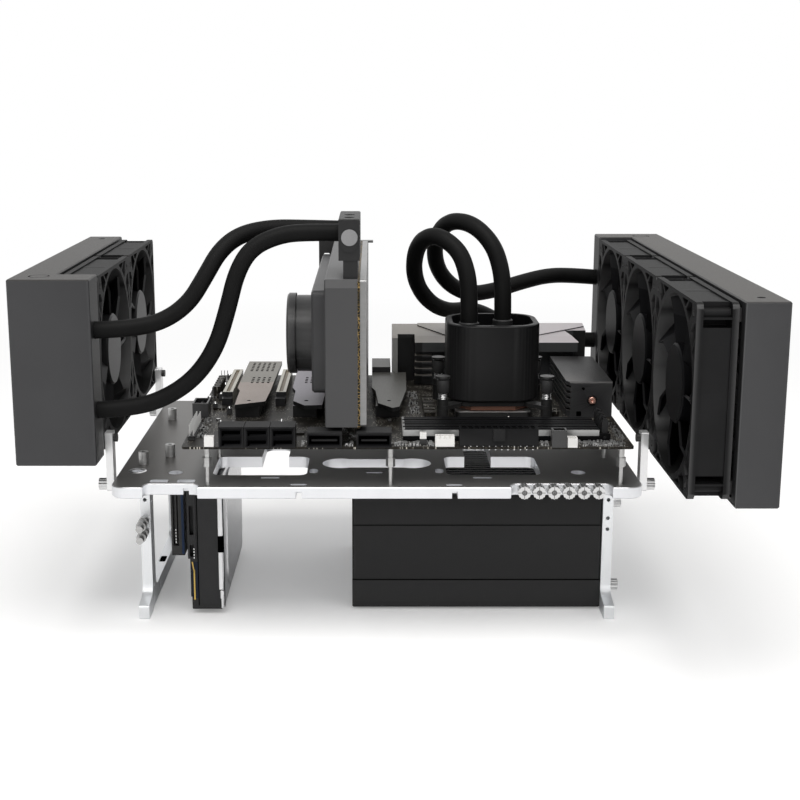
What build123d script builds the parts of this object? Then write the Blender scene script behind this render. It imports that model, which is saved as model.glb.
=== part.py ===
from build123d import *
import os
from math import atan2, cos, degrees, radians, sin, tan

# Open air test bench with a running computer mounted on it, in millimetres.
# The origin lies on the floor, under the middle of the bench. X runs along
# the front edge of the tray, Y from the front edge to the rear, Z upwards.

os.makedirs("parts", exist_ok=True)

# Tray plate
plate_length = 362.5
plate_depth = 272.5
plate_thickness = 8.0
plate_corner_radius = 11.0
plate_centre_y = 48.8
leg_height = 105.0
recess_depth = 9.5
recess_radius = 4.5
left_recess_x = -140.3
left_recess_width = 37.2
right_recess_x = 125.4
right_recess_width = 69.0
window_x = 82.0
window_width = 66.0
window_height = 50.0
window_front_gap = 31.5
window_stem_width = 19.5
window_stem_length = 52.0
window_radius = 6.0
pointed_slot_length = 78.0
pointed_slot_width = 23.0
pointed_slot_y = -24.0
cable_hole_radius = 5.0
edge_groove_width = 4.0
edge_groove_height = 5.0
edge_groove_length = 14.0
edge_groove_xs = (-130.5, -53.0, 52.9)
plate_chamfer = 0.6

# Legs
leg_thickness = 7.5
leg_centre_x = 168.75
leg_centre_y = 55.5
leg_length = 191.0
leg_body_margin = 1.0
leg_screw_margin = 7.5
leg_rail_height = 13.5
leg_top_rail_height = 15.0
foot_height = 10.2
foot_relief = 1.5
leg_seat_depth = 2.0
seat_clearance = 0.1
leg_window_radius = 8.0
leg_pin_hole_radius = 1.4
rail_slot_inset = 21.8
rail_slot_margin = 5.5
leg_pin_heights = (62.2, 70.6, 84.5)

# Radiator posts, nuts and screws
post_thickness = 5.0
post_width = 10.0
post_top_margin = 4.5
post_hole_radius = 1.7
nut_radius = 4.15
nut_length = 6.0
knurl_depth = 0.45
knurl_teeth = 14
nut_stud_radius = 1.5
nut_stud_depth = 8.0
stud_clearance = 0.1
corner_screw_head_radius = 2.85
corner_screw_head_height = 2.8
corner_screw_radius = 1.6
corner_screw_depth = 10.0

# Fans
fan_size = 120.0
fan_depth = 25.0
fan_corner_radius = 4.0
fan_bore = 115.0
fan_flange = 4.0
fan_seam = 0.2
fan_hole_pitch = 105.0
fan_hole_radius = 2.15
fan_side_recess = 1.2
fan_corner_pocket = 15.0
fan_strut_width = 5.0
fan_strut_depth = 3.0
fan_row_y = 168.75
fan_bottom = 134.5
hub_radius = 25.5
hub_wall = 2.5
hub_rise = 11.0
hub_bevel = 1.2
hub_drop = 6.5
stator_radius = 20.0
spindle_radius = 2.0
spindle_clearance = 0.05
blade_count = 7
blade_thickness = 1.7
blade_root_chord = 24.0
blade_tip_chord = 41.0
blade_root_pitch = 42.0
blade_tip_pitch = 25.0
blade_sweep = 20.0
blade_tip_gap = 1.7

# Radiators
radiator_depth = 27.0
radiator_gap = 1.75
radiator_bottom = 131.5
radiator_height = 124.5
radiator_corner_radius = 1.5
radiator_frame = 9.0
radiator_recess = 2.0
left_radiator_length = 276.0
left_radiator_front = -100.55
left_cap_length = 28.5
right_radiator_length = 396.1
right_radiator_front = -198.05
right_cap_length = 28.5
core_fin_pitch = 10.0
core_fin_width = 6.0
core_fin_depth = 2.0
rail_height = 8.0
port_spacing = 54.0
port_depth = 6.0

# Hoses
hose_diameter = 11.6
pump_hose_diameter = 12.8
hose_bore_clearance = 0.2

# Motherboard
board_length = 305.0
board_depth = 244.0
board_thickness = 1.6
board_left = -131.7
board_front = -86.55
standoff_height = 26.5
standoff_radius = 1.5
standoff_neck_radius = 2.1
standoff_nut_radius = 3.2
standoff_nut_height = 6.3
standoff_nut_drop = 13.4
standoff_tip = 1.2
board_hole_radius = 2.0
board_hole_xs = (16.51, 140.97, 297.5)
board_hole_ys = (6.35, 79.0, 233.68)

# Connectors on the motherboard
sata_left = -106.5
sata_pitch = 17.3
sata_height = 14.4
sata_front = -89.0
sata_depth = 17.0
sata_slot_width = 12.4
sata_slot_height = 2.6
usb_lefts = (-47.1, -13.7)
usb_width = 23.6
usb_height = 10.6
usb_depth = 16.0
power_left = 55.7
power_width = 53.0
power_height = 12.2
power_front = -85.5
power_depth = 10.4
power_cells = 12
power_cell_size = 3.0
slot_left = 18.0
slot_length = 134.0
slot_width = 7.6
slot_height = 8.0
slot_pitch = 10.5
slot_first_y = -66.5
slot_count = 4
slot_groove = 1.6
latch_length = 7.6
latch_width = 4.4
latch_rise = 7.0
latch_clearance = 0.3
latch_pin_radius = 0.9
latch_ear = 1.2

# Expansion slots and card
card_slot_x = -12.0
card_slot_pitch = 20.32
card_slot_steps = (0, 3, 5)
card_slot_length = 89.0
card_slot_width = 7.5
card_slot_height = 9.5
card_slot_front = 46.0
card_slot_groove = 3.0

# Graphics card
card_front = -86.0
card_rear = 164.0
card_bottom = 154.5
card_top = 254.0
card_board_thickness = 1.6
shroud_depth = 22.0
shroud_chamfer = 5.5
side_cover_depth = 9.8
side_cover_bottom = 172.0
side_cover_top = 243.0
side_cover_front = -60.0
card_pump_radius = 28.5
card_pump_height = 18.0
card_pump_y = -20.0
card_pump_z = 207.5
backplate_thickness = 4.2
manifold_width = 14.0
manifold_front = -81.5
manifold_length = 62.0
manifold_top = 293.4
manifold_foot_height = 12.0
manifold_centre_x = -18.3
manifold_port_z = 283.0
manifold_port_ys = (-66.0, -40.0)
emblem_radius = 5.6
emblem_height = 0.6
bracket_thickness = 1.2
bracket_left = -47.6
bracket_right = -6.6
bracket_bottom = 139.8

# Covers and heat sinks
cover_plate_thickness = 3.0
cover_base_height = 8.5
cover_width = 27.4
cover_notch_y = 65.0
cover_step_width = 15.0
cover_step_length = 38.0
cover_step_height = 15.9
cover_front = -12.0
cover_rears = (159.0, 159.0, 112.0)
cover_centre_xs = (-93.0, -50.7, 10.2)
heatsink_left = 139.0
heatsink_right = 172.5
heatsink_front = 2.0
heatsink_rear = 103.0
heatsink_top = 167.5
shield_left = 13.0
shield_right = 172.5
shield_front = 112.0
shield_rear = 157.2
shield_front_top = 177.0
shield_rear_top = 185.0
shield_lip = 7.5
shield_undercut = 9.0
shield_crease = 13.5
shield_side_wall = 4.4
shield_bay_width = 18.2
shield_bay_rear = 130.0
shield_front_right = 163.0
shield_fin_count = 4
shield_fin_low = 148.6
shield_fin_pitch = 5.5
shield_fin_width = 13.8

# Processor cooler
cooler_x = 85.4
cooler_y = 27.0
socket_width = 55.0
socket_depth = 54.0
socket_height = 4.2
lid_height = 1.3
cold_plate_size = 54.0
cold_plate_corner = 11.0
cold_plate_thickness = 3.4
pump_width = 68.0
pump_depth = 64.0
pump_bottom = 153.0
pump_top = 209.6
pump_corner_radius = 21.0
pump_rim = 4.5
pump_recess = 8.0
pump_hole_pitch = 75.0
pump_screw_head_radius = 5.2
pump_screw_stem_radius = 2.2
pump_screw_top = 174.5
fitting_radius = 7.5
fitting_height = 7.5
near_port = (68.0, 19.0)
rear_port = (94.0, 33.0)

# Power supply
psu_length = 183.0
psu_width = 150.0
psu_height = 86.0
psu_bottom = 1.5
psu_corner_radius = 2.5
psu_wall = 1.2
psu_seam_height = 21.5
psu_groove_height = 63.5
psu_fan_hub_radius = 20.0
psu_well_radius = 64.0
psu_well_depth = 27.0
psu_screw_inset = 6.0
psu_screw_heights = (16.0, 80.0)
grille_slat = 3.2
grille_pitch = 6.4

# Drives
drive_left = -136.5
drive_front = -30.0
drive_thickness = 26.1
drive_width = 101.6
drive_length = 147.0
drive_cover_thickness = 3.0
ssd_left = -153.0
ssd_front = -1.4
ssd_thickness = 9.5
ssd_width = 69.85
ssd_length = 100.0

# Heights and faces that follow from the sizes above
plate_bottom = leg_height
plate_top = plate_bottom + plate_thickness
plate_front = plate_centre_y - plate_depth / 2
plate_side = plate_length / 2
plate_middle_z = plate_bottom + plate_thickness / 2
board_bottom = plate_top + standoff_height
board_top = board_bottom + board_thickness
board_rear = board_front + board_depth
board_right = board_left + board_length
fan_inner_x = plate_side + post_thickness
fan_outer_x = fan_inner_x + fan_depth
radiator_inner_x = fan_outer_x + radiator_gap
radiator_outer_x = radiator_inner_x + radiator_depth
fan_hole_inset = (fan_size - fan_hole_pitch) / 2
fan_middle_z = fan_bottom + fan_size / 2
post_screw_z = fan_bottom + fan_hole_inset
post_top = post_screw_z + post_top_margin
post_front_y = fan_row_y - 2 * fan_size + fan_hole_inset
post_rear_y = fan_row_y - fan_hole_inset
leg_front = leg_centre_y - leg_length / 2
leg_body_length = psu_width + 2 * leg_body_margin
leg_window_length = psu_width - 2 * psu_screw_inset - 2 * leg_screw_margin
leg_post_width = (leg_body_length - leg_window_length) / 2
foot_length = (leg_length - leg_body_length) / 2
leg_inner_x = leg_centre_x - leg_thickness / 2
leg_outer_x = leg_centre_x + leg_thickness / 2
psu_front = leg_centre_y - psu_width / 2
psu_left = leg_inner_x - psu_length
psu_top = psu_bottom + psu_height
psu_fan_x = psu_left + psu_length / 2
psu_screw_ys = (psu_front + psu_screw_inset, psu_front + psu_width - psu_screw_inset)
left_cap_rear = left_radiator_front + left_cap_length
right_cap_front = right_radiator_front + right_radiator_length - right_cap_length
port_middle_z = radiator_bottom + radiator_height / 2
port_zs = (port_middle_z - port_spacing / 2, port_middle_z + port_spacing / 2)
left_port_y = left_radiator_front + left_cap_length / 2
right_port_y = right_cap_front + right_cap_length / 2
port_face_x = fan_inner_x
manifold_left_x = manifold_centre_x - manifold_width / 2
card_board_left = card_slot_x - card_board_thickness / 2
card_board_right = card_slot_x + card_board_thickness / 2
shroud_left = card_board_left - shroud_depth
side_cover_left = shroud_left - side_cover_depth
pump_floor = pump_top - pump_recess
hose_start_z = pump_floor + fitting_height


def save(piece, name):
    """Label one finished piece and write it as its own STEP file."""
    piece.part.label = name
    export_step(piece.part, f"parts/{name}.step")


def block(x, y, z, mode=Mode.ADD):
    """A box between the lowest and highest values given for each axis."""
    with Locations(((x[0] + x[1]) / 2, (y[0] + y[1]) / 2, (z[0] + z[1]) / 2)):
        Box(x[1] - x[0], y[1] - y[0], z[1] - z[0], mode=mode)


def rod(start, direction, radius, length, mode=Mode.ADD):
    """A round bar from a point along a direction."""
    with Locations(Plane(origin=start, z_dir=direction)):
        Cylinder(radius, length, align=(Align.CENTER, Align.CENTER, Align.MIN), mode=mode)


def pocket(x, y, z, radius, depth):
    """A rounded-rectangle pocket cut downwards from height z."""
    with BuildSketch(Plane.XY.offset(z)) as outline:
        with Locations(((x[0] + x[1]) / 2, (y[0] + y[1]) / 2)):
            RectangleRounded(x[1] - x[0], y[1] - y[0], radius)
    extrude(outline.sketch, amount=-depth, mode=Mode.SUBTRACT)


# Tray plate: one milled aluminium plate with cable windows and recesses
def cable_window(centre_x, stem_shift):
    """Outline of one T-shaped cable window, with its stem to the rear."""
    middle_y = plate_front + window_front_gap + window_height / 2
    stem_y = middle_y + (window_height + window_stem_length) / 2 - window_radius
    with Locations((centre_x, middle_y)):
        RectangleRounded(window_width, window_height, window_radius)
    with Locations((centre_x + stem_shift, stem_y)):
        RectangleRounded(window_stem_width, window_stem_length + window_radius, window_radius)


with BuildPart() as tray_plate:
    with BuildSketch(Plane.XY.offset(plate_bottom)):
        with Locations((0, plate_centre_y)):
            RectangleRounded(plate_length, plate_depth, plate_corner_radius)
        with Locations((left_recess_x, plate_front)):
            RectangleRounded(
                left_recess_width, 2 * recess_depth, recess_radius, mode=Mode.SUBTRACT
            )
        with Locations((right_recess_x, plate_front)):
            RectangleRounded(
                right_recess_width, 2 * recess_depth, recess_radius, mode=Mode.SUBTRACT
            )
    extrude(amount=plate_thickness)
    rims = tray_plate.faces().filter_by(Axis.Z).sort_by(Axis.Z)
    chamfer(rims[-1].edges() + rims[0].edges(), length=plate_chamfer)
    with BuildSketch(Plane.XY.offset(plate_bottom)):
        cable_window(-window_x, 8.0)
        cable_window(window_x, -8.0)
        with BuildLine(Plane((0, pointed_slot_y, 0))):
            slot_tip = pointed_slot_length / 2
            slot_shoulder = slot_tip - window_stem_width
            slot_half = pointed_slot_width / 2
            Line((-slot_shoulder, slot_half), (slot_shoulder, slot_half))
            Line((slot_shoulder, -slot_half), (-slot_shoulder, -slot_half))
            ThreePointArc(
                (slot_shoulder, slot_half),
                (slot_tip, 0),
                (slot_shoulder, -slot_half),
            )
            ThreePointArc(
                (-slot_shoulder, -slot_half),
                (-slot_tip, 0),
                (-slot_shoulder, slot_half),
            )
        make_face()
        with Locations((-73.9, -62.8), (73.3, -62.8)):
            SlotOverall(13.4, 4.0)
        with Locations((-53.5, -80.2), (52.6, -81.0), (-1.7, -49.7)):
            SlotOverall(11.5, 3.6)
        with Locations((-44.5, -45.0), (44.2, -45.0)):
            SlotOverall(11.0, 5.8, rotation=90)
        with Locations((-149.8, -71.2), (-131.2, -71.2)):
            RectangleRounded(12.4, 7.0, 1.5)
        with Locations((-141.5, -49.0), (141.5, -49.0), (-168.4, -46.3)):
            Circle(cable_hole_radius)
    extrude(amount=plate_thickness, mode=Mode.SUBTRACT)
    # Seats for the top edges of the two legs
    with BuildSketch(Plane.XY.offset(plate_bottom)):
        with Locations((-leg_centre_x, leg_centre_y), (leg_centre_x, leg_centre_y)):
            Rectangle(
                leg_thickness + 2 * seat_clearance,
                leg_body_length + 2 * seat_clearance,
            )
    extrude(amount=leg_seat_depth, mode=Mode.SUBTRACT)
    # Grooves under the front edge
    for groove_x in edge_groove_xs:
        block(
            (groove_x - edge_groove_width / 2, groove_x + edge_groove_width / 2),
            (plate_front - 1, plate_front + edge_groove_length),
            (plate_bottom, plate_bottom + edge_groove_height),
            mode=Mode.SUBTRACT,
        )
    # Threaded holes: board standoffs, post nuts and stored thumbscrews
    with BuildSketch(Plane.XY.offset(plate_bottom)):
        for hole_x in board_hole_xs:
            for hole_y in board_hole_ys:
                with Locations((board_left + hole_x, board_front + hole_y)):
                    Circle(standoff_radius + stud_clearance)
    extrude(amount=plate_thickness, mode=Mode.SUBTRACT)
    for side in (-1, 1):
        for post_y in (post_front_y, post_rear_y):
            rod(
                (side * plate_side, post_y, plate_middle_z),
                (-side, 0, 0),
                nut_stud_radius + stud_clearance,
                nut_stud_depth + 1,
                mode=Mode.SUBTRACT,
            )
save(tray_plate, "tray_plate")


# Legs: two identical flat frames whose feet reach forward and back
def build_leg(centre_x):
    """One leg frame, standing in the YZ plane at centre_x."""
    post_face = leg_front + foot_length
    foot_top_inner = leg_rail_height
    with BuildPart() as leg:
        with BuildSketch(Plane.YZ.offset(centre_x - leg_thickness / 2)):
            with BuildLine():
                half = leg_length / 2
                upright = half - foot_length
                corners = [
                    (leg_centre_y - half, 0),
                    (leg_centre_y - half, foot_height),
                    (leg_centre_y - upright, foot_top_inner),
                    (leg_centre_y - upright, plate_bottom + leg_seat_depth),
                    (leg_centre_y + upright, plate_bottom + leg_seat_depth),
                    (leg_centre_y + upright, foot_top_inner),
                    (leg_centre_y + half, foot_height),
                    (leg_centre_y + half, 0),
                    (leg_centre_y + upright, 0),
                    (leg_centre_y + upright - foot_relief, foot_relief),
                    (leg_centre_y - upright + foot_relief, foot_relief),
                    (leg_centre_y - upright, 0),
                ]
                FilletPolyline(
                    *corners,
                    radius=(0.8, 1.6, 8.0, 0.8, 0.8, 8.0, 1.6, 0.8, 0.8, 0.8, 0.8, 0.8),
                    close=True,
                )
            make_face()
            window_low = leg_rail_height
            window_high = plate_bottom - leg_top_rail_height
            with Locations((leg_centre_y, (window_low + window_high) / 2)):
                RectangleRounded(
                    leg_window_length,
                    window_high - window_low,
                    leg_window_radius,
                    mode=Mode.SUBTRACT,
                )
            # Holes for the power supply's thumbscrews
            for hole_y in psu_screw_ys:
                for hole_z in psu_screw_heights:
                    with Locations((hole_y, psu_bottom + hole_z)):
                        Circle(nut_stud_radius + stud_clearance, mode=Mode.SUBTRACT)
            # Narrow slots through the bottom rail
            slot_inner = leg_window_length / 2 - rail_slot_inset
            slot_outer = leg_body_length / 2 - rail_slot_margin
            for rail_slot_y in (-slot_outer, -slot_inner, slot_inner, slot_outer):
                with Locations((leg_centre_y + rail_slot_y, leg_rail_height / 2)):
                    SlotOverall(6.0, 2.0, rotation=90, mode=Mode.SUBTRACT)
        extrude(amount=leg_thickness)
        # Pocket in the top face of the bottom rail
        pocket(
            (centre_x - 2.5, centre_x + 2.5),
            (leg_centre_y - 7.0, leg_centre_y + 7.0),
            leg_rail_height,
            1.5,
            3.0,
        )
        # Storage holes in the front face of the front upright
        for pin_z in leg_pin_heights:
            rod(
                (centre_x, post_face, pin_z),
                (0, 1, 0),
                leg_pin_hole_radius,
                leg_post_width - 2.5,
                mode=Mode.SUBTRACT,
            )
    return leg


leg_left = build_leg(-leg_centre_x)
save(leg_left, "leg_left")
leg_right = build_leg(leg_centre_x)
save(leg_right, "leg_right")


# Radiator posts: flat bars bolted to the plate's sides
def build_posts(side):
    """The front and rear posts of one side, with their two cross holes."""
    with BuildPart() as posts:
        for post_y in (post_front_y, post_rear_y):
            with BuildSketch(Plane.YZ.offset(side * plate_side)):
                with Locations((post_y, (plate_bottom + post_top) / 2)):
                    RectangleRounded(post_width, post_top - plate_bottom, 1.2)
                with Locations((post_y, plate_middle_z), (post_y, post_screw_z)):
                    Circle(post_hole_radius, mode=Mode.SUBTRACT)
            extrude(amount=side * post_thickness)
    return posts


radiator_posts_left = build_posts(-1)
save(radiator_posts_left, "radiator_posts_left")
radiator_posts_right = build_posts(1)
save(radiator_posts_right, "radiator_posts_right")


def knurl_points(radius, depth, teeth):
    """Corners of a round outline with pointed teeth."""
    points = []
    for step in range(2 * teeth):
        angle = radians(step * 180 / teeth)
        reach = radius - depth * (step % 2)
        points.append((reach * cos(angle), reach * sin(angle)))
    return points


def thumb_nut(origin, inward, outward, stud_length):
    """A knurled thumb nut whose stud reaches inward from its seat."""
    with BuildSketch(Plane(origin=origin, z_dir=outward)) as outline:
        with BuildLine():
            Polyline(*knurl_points(nut_radius, knurl_depth, knurl_teeth), close=True)
        make_face()
    extrude(outline.sketch, amount=nut_length)
    rod(origin, inward, nut_stud_radius, stud_length)


with BuildPart() as thumb_nuts:
    for side in (-1, 1):
        for post_y in (post_front_y, post_rear_y):
            thumb_nut(
                (side * fan_inner_x, post_y, plate_middle_z),
                (-side, 0, 0),
                (side, 0, 0),
                post_thickness + nut_stud_depth,
            )
    for hole_y in psu_screw_ys:
        for hole_z in psu_screw_heights:
            thumb_nut(
                (leg_outer_x, hole_y, psu_bottom + hole_z),
                (-1, 0, 0),
                (1, 0, 0),
                leg_thickness + nut_stud_depth,
            )
save(thumb_nuts, "thumb_nuts")

with BuildPart() as corner_screws:
    for side in (-1, 1):
        for post_y in (post_front_y, post_rear_y):
            rod(
                (side * plate_side, post_y, post_screw_z),
                (-side, 0, 0),
                corner_screw_head_radius,
                corner_screw_head_height,
            )
            rod(
                (side * plate_side, post_y, post_screw_z),
                (side, 0, 0),
                corner_screw_radius,
                post_thickness + corner_screw_depth,
            )
save(corner_screws, "corner_screws")

# Board standoffs: pins with a hexagonal shoulder, screwed into the plate
with BuildPart() as board_standoffs:
    thread_low = plate_bottom + leg_seat_depth + stud_clearance
    nut_low = board_bottom - standoff_nut_drop
    for hole_x in board_hole_xs:
        for hole_y in board_hole_ys:
            with BuildSketch(
                Plane(
                    origin=(board_left + hole_x, board_front + hole_y, 0),
                    x_dir=(1, 0, 0),
                    z_dir=(0, -1, 0),
                )
            ):
                with BuildLine():
                    Polyline(
                        (0, thread_low),
                        (standoff_radius, thread_low),
                        (standoff_radius, nut_low),
                        (standoff_neck_radius, nut_low),
                        (standoff_neck_radius, board_bottom),
                        (standoff_radius, board_bottom),
                        (standoff_radius, board_top + standoff_tip),
                        (0, board_top + standoff_tip),
                        close=True,
                    )
                make_face()
            revolve(
                axis=Axis((board_left + hole_x, board_front + hole_y, 0), (0, 0, 1))
            )
            with BuildSketch(Plane.XY.offset(nut_low)):
                with Locations((board_left + hole_x, board_front + hole_y)):
                    RegularPolygon(standoff_nut_radius, 6)
            extrude(amount=standoff_nut_height)
save(board_standoffs, "board_standoffs")

# Thumbscrews stored in the right front recess
stored_screw_pitch = 10.1
stored_screw_count = 6
stored_head_radius = 4.6
stored_head_length = recess_depth - 0.5
with BuildPart() as stored_thumbscrews:
    recess_face = plate_front + recess_depth
    for index in range(stored_screw_count):
        screw_x = right_recess_x + (index - (stored_screw_count - 1) / 2) * stored_screw_pitch
        with BuildSketch(
            Plane(origin=(screw_x, recess_face, plate_middle_z), z_dir=(0, -1, 0))
        ):
            with BuildLine():
                Polyline(
                    *knurl_points(stored_head_radius, knurl_depth, knurl_teeth), close=True
                )
            make_face()
        extrude(amount=stored_head_length)
        rod(
            (screw_x, recess_face - stored_head_length, plate_middle_z),
            (0, 1, 0),
            1.9,
            0.8,
            mode=Mode.SUBTRACT,
        )
save(stored_thumbscrews, "stored_thumbscrews")

# Spare standoffs: two in the left leg and three on the plate
spare_radius = 2.6
spare_length = 28.0
spare_stub_radius = 3.6
spare_stub_height = 9.0
with BuildPart() as spare_standoffs:
    post_face = leg_front + foot_length
    for pin_z in leg_pin_heights[:2]:
        rod((-leg_centre_x, post_face, pin_z), (0, -1, 0), spare_radius, spare_length)
        rod((-leg_centre_x, post_face, pin_z), (0, 1, 0), 1.2, leg_post_width - 3.0)
        for ring_y in (6.0, 16.0):
            rod((-leg_centre_x, post_face - ring_y, pin_z), (0, -1, 0), 3.6, 5.0)
    for stub_x, stub_y in ((-166.5, 115.0), (-151.5, -3.6), (-167.5, -25.0)):
        with BuildSketch(Plane.XY.offset(plate_top)):
            with Locations((stub_x, stub_y)):
                Circle(spare_stub_radius)
                Circle(1.5, mode=Mode.SUBTRACT)
        extrude(amount=spare_stub_height)
save(spare_standoffs, "spare_standoffs")

# Motherboard: the drilled panel with its soldered cans and chips
with BuildPart() as motherboard:
    with BuildSketch(Plane.XY.offset(board_bottom)):
        with Locations((board_left + board_length / 2, board_front + board_depth / 2)):
            RectangleRounded(board_length, board_depth, 3.0)
        for hole_x in board_hole_xs:
            for hole_y in board_hole_ys:
                with Locations((board_left + hole_x, board_front + hole_y)):
                    Circle(board_hole_radius, mode=Mode.SUBTRACT)
    extrude(amount=board_thickness)
    # Audio capacitors near the left rear, power stage cans near the cooler
    with BuildSketch(Plane.XY.offset(board_top)):
        with Locations((-124.6, 90.0)):
            with GridLocations(1.0, 8.0, 1, 6):
                Circle(2.9)
    extrude(amount=9.0)
    with BuildSketch(Plane.XY.offset(board_top)):
        with Locations((cooler_x + 45.0, cooler_y - 22.0)):
            with GridLocations(1.0, 9.0, 1, 2):
                Circle(3.2)
        with Locations((cooler_x - 46.5, cooler_y)):
            with GridLocations(1.0, 11.0, 1, 6):
                Rectangle(8.0, 8.0)
    extrude(amount=5.0)
    with BuildSketch(Plane.XY.offset(board_top)):
        with Locations((-92.0, -45.0), (-55.0, -48.0), (-4.0, -50.0), (-118.0, 30.0)):
            Rectangle(9.0, 9.0)
    extrude(amount=1.4)
save(motherboard, "motherboard")

# Drive sockets: three angled shells, each with two stacked mouths
with BuildPart() as sata_ports:
    for column in range(3):
        low_x = sata_left + column * sata_pitch
        block(
            (low_x + 0.2, low_x + sata_pitch - 0.2),
            (sata_front, sata_front + sata_depth),
            (board_top, board_top + sata_height),
        )
        middle_x = low_x + sata_pitch / 2
        for row in range(2):
            mouth_z = board_top + sata_height * (0.27 + 0.46 * row)
            block(
                (middle_x - sata_slot_width / 2, middle_x + sata_slot_width / 2),
                (sata_front - 1, sata_front + 6.0),
                (mouth_z - sata_slot_height / 2, mouth_z + sata_slot_height / 2),
                mode=Mode.SUBTRACT,
            )
            block(
                (middle_x - sata_slot_width / 2, middle_x - sata_slot_width / 2 + 1.4),
                (sata_front - 1, sata_front + 6.0),
                (mouth_z - sata_slot_height, mouth_z),
                mode=Mode.SUBTRACT,
            )
save(sata_ports, "sata_ports")

with BuildPart() as usb_headers:
    for low_x in usb_lefts:
        block(
            (low_x, low_x + usb_width),
            (sata_front, sata_front + usb_depth),
            (board_top, board_top + usb_height),
        )
        block(
            (low_x + 1.6, low_x + usb_width - 1.6),
            (sata_front - 1, sata_front + usb_depth - 4),
            (board_top + 2.2, board_top + usb_height - 2.4),
            mode=Mode.SUBTRACT,
        )
        block(
            (low_x + 3.2, low_x + usb_width - 3.2),
            (sata_front + 1, sata_front + usb_depth - 4),
            (board_top + 4.4, board_top + 5.6),
        )
    # Relief for the standoff tip beside the second header
    rod(
        (board_left + board_hole_xs[1], board_front + board_hole_ys[0], board_top),
        (0, 0, 1),
        standoff_neck_radius,
        standoff_tip + 0.6,
        mode=Mode.SUBTRACT,
    )
save(usb_headers, "usb_headers")

with BuildPart() as atx_power_socket:
    block(
        (power_left, power_left + power_width),
        (power_front, power_front + power_depth),
        (board_top, board_top + power_height),
    )
    with BuildSketch(Plane.XY.offset(board_top + power_height)):
        with Locations((power_left + power_width / 2, power_front + power_depth / 2)):
            with GridLocations(4.2, 4.6, power_cells, 2):
                Rectangle(power_cell_size, power_cell_size)
    extrude(amount=-8.0, mode=Mode.SUBTRACT)
    block(
        (power_left + power_width / 2 - 4, power_left + power_width / 2 + 4),
        (power_front - 1.4, power_front),
        (board_top + 4.0, board_top + power_height),
    )
save(atx_power_socket, "atx_power_socket")

# Small headers: pale fan and lighting sockets with open tops
header_boxes = (
    ((-116.3, -109.8), (-86.4, -82.0), 7.2),
    ((29.0, 33.5), (-82.0, -77.5), 8.4),
    ((39.3, 52.2), (-86.2, -80.4), 7.4),
    ((128.1, 134.7), (-88.5, -81.5), 6.5),
)
header_wall = 1.2
header_well_depth = 3.0
with BuildPart() as board_headers:
    for (low_x, high_x), (low_y, high_y), height in header_boxes:
        block((low_x, high_x), (low_y, high_y), (board_top, board_top + height))
        block(
            (low_x + header_wall, high_x - header_wall),
            (low_y + header_wall, high_y - header_wall),
            (board_top + height - header_well_depth, board_top + height),
            mode=Mode.SUBTRACT,
        )
    # Keyways in the front wall of the wide header
    (low_x, high_x), (low_y, high_y), height = header_boxes[2]
    for key_share in (0.25, 0.5, 0.75):
        key_x = low_x + (high_x - low_x) * key_share
        block(
            (key_x - 0.7, key_x + 0.7),
            (low_y - 0.5, low_y + header_wall + 0.5),
            (board_top + height - 1.8, board_top + height + 0.5),
            mode=Mode.SUBTRACT,
        )
save(board_headers, "board_headers")

# Dark sockets: an upright socket, the side socket and two rows of pins
socket_boxes = (
    ((117.6, 127.5), (-88.5, -80.0), 11.8),
    ((-134.6, -123.2), (-2.0, 17.0), 11.2),
)
with BuildPart() as board_sockets:
    for (low_x, high_x), (low_y, high_y), height in socket_boxes:
        block((low_x, high_x), (low_y, high_y), (board_top, board_top + height))
        block(
            (low_x + header_wall, high_x - header_wall),
            (low_y + header_wall, high_y - header_wall),
            (board_top + header_well_depth, board_top + height),
            mode=Mode.SUBTRACT,
        )
        middle_x = (low_x + high_x) / 2
        block(
            (middle_x - 0.9, middle_x + 0.9),
            (low_y + header_wall, high_y - header_wall),
            (board_top + header_well_depth, board_top + height - 2.0),
        )
    # Pin rows along the left edge
    for pin_row in range(2):
        for pin in range(9):
            pin_x = board_left + 3.2 + pin_row * 2.54
            pin_y = -66.0 + pin * 5.08
            block(
                (pin_x - 0.4, pin_x + 0.4),
                (pin_y - 0.4, pin_y + 0.4),
                (board_top + 2.5, board_top + 10.5),
            )
    block(
        (board_left + 1.9, board_left + 7.1),
        (-67.4, -24.0),
        (board_top, board_top + 2.5),
    )
save(board_sockets, "board_sockets")


def slot_y(index):
    return slot_first_y + index * slot_pitch


# Memory slots: four bars with a card groove and a fork for the latch
latch_pin_z = board_top + 2.6
latch_pin_x = slot_left + slot_length + latch_length / 2
with BuildPart() as memory_slots:
    for index in range(slot_count):
        middle_y = slot_y(index)
        block(
            (slot_left, slot_left + slot_length),
            (middle_y - slot_width / 2, middle_y + slot_width / 2),
            (board_top, board_top + slot_height),
        )
        block(
            (slot_left + 1.5, slot_left + slot_length + 1),
            (middle_y - slot_groove / 2, middle_y + slot_groove / 2),
            (board_top + 2.0, board_top + slot_height),
            mode=Mode.SUBTRACT,
        )
        # Two ears and a floor hold the latch's pin
        block(
            (slot_left + slot_length, slot_left + slot_length + latch_length),
            (middle_y - slot_width / 2, middle_y + slot_width / 2),
            (board_top, board_top + 5.2),
        )
        block(
            (slot_left + slot_length, slot_left + slot_length + latch_length + 1),
            (
                middle_y - latch_width / 2 - latch_clearance,
                middle_y + latch_width / 2 + latch_clearance,
            ),
            (board_top, board_top + 6.0),
            mode=Mode.SUBTRACT,
        )
        rod(
            (latch_pin_x, middle_y - slot_width / 2 - 1, latch_pin_z),
            (0, 1, 0),
            latch_pin_radius + spindle_clearance,
            slot_width + 2,
            mode=Mode.SUBTRACT,
        )
save(memory_slots, "memory_slots")

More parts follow.
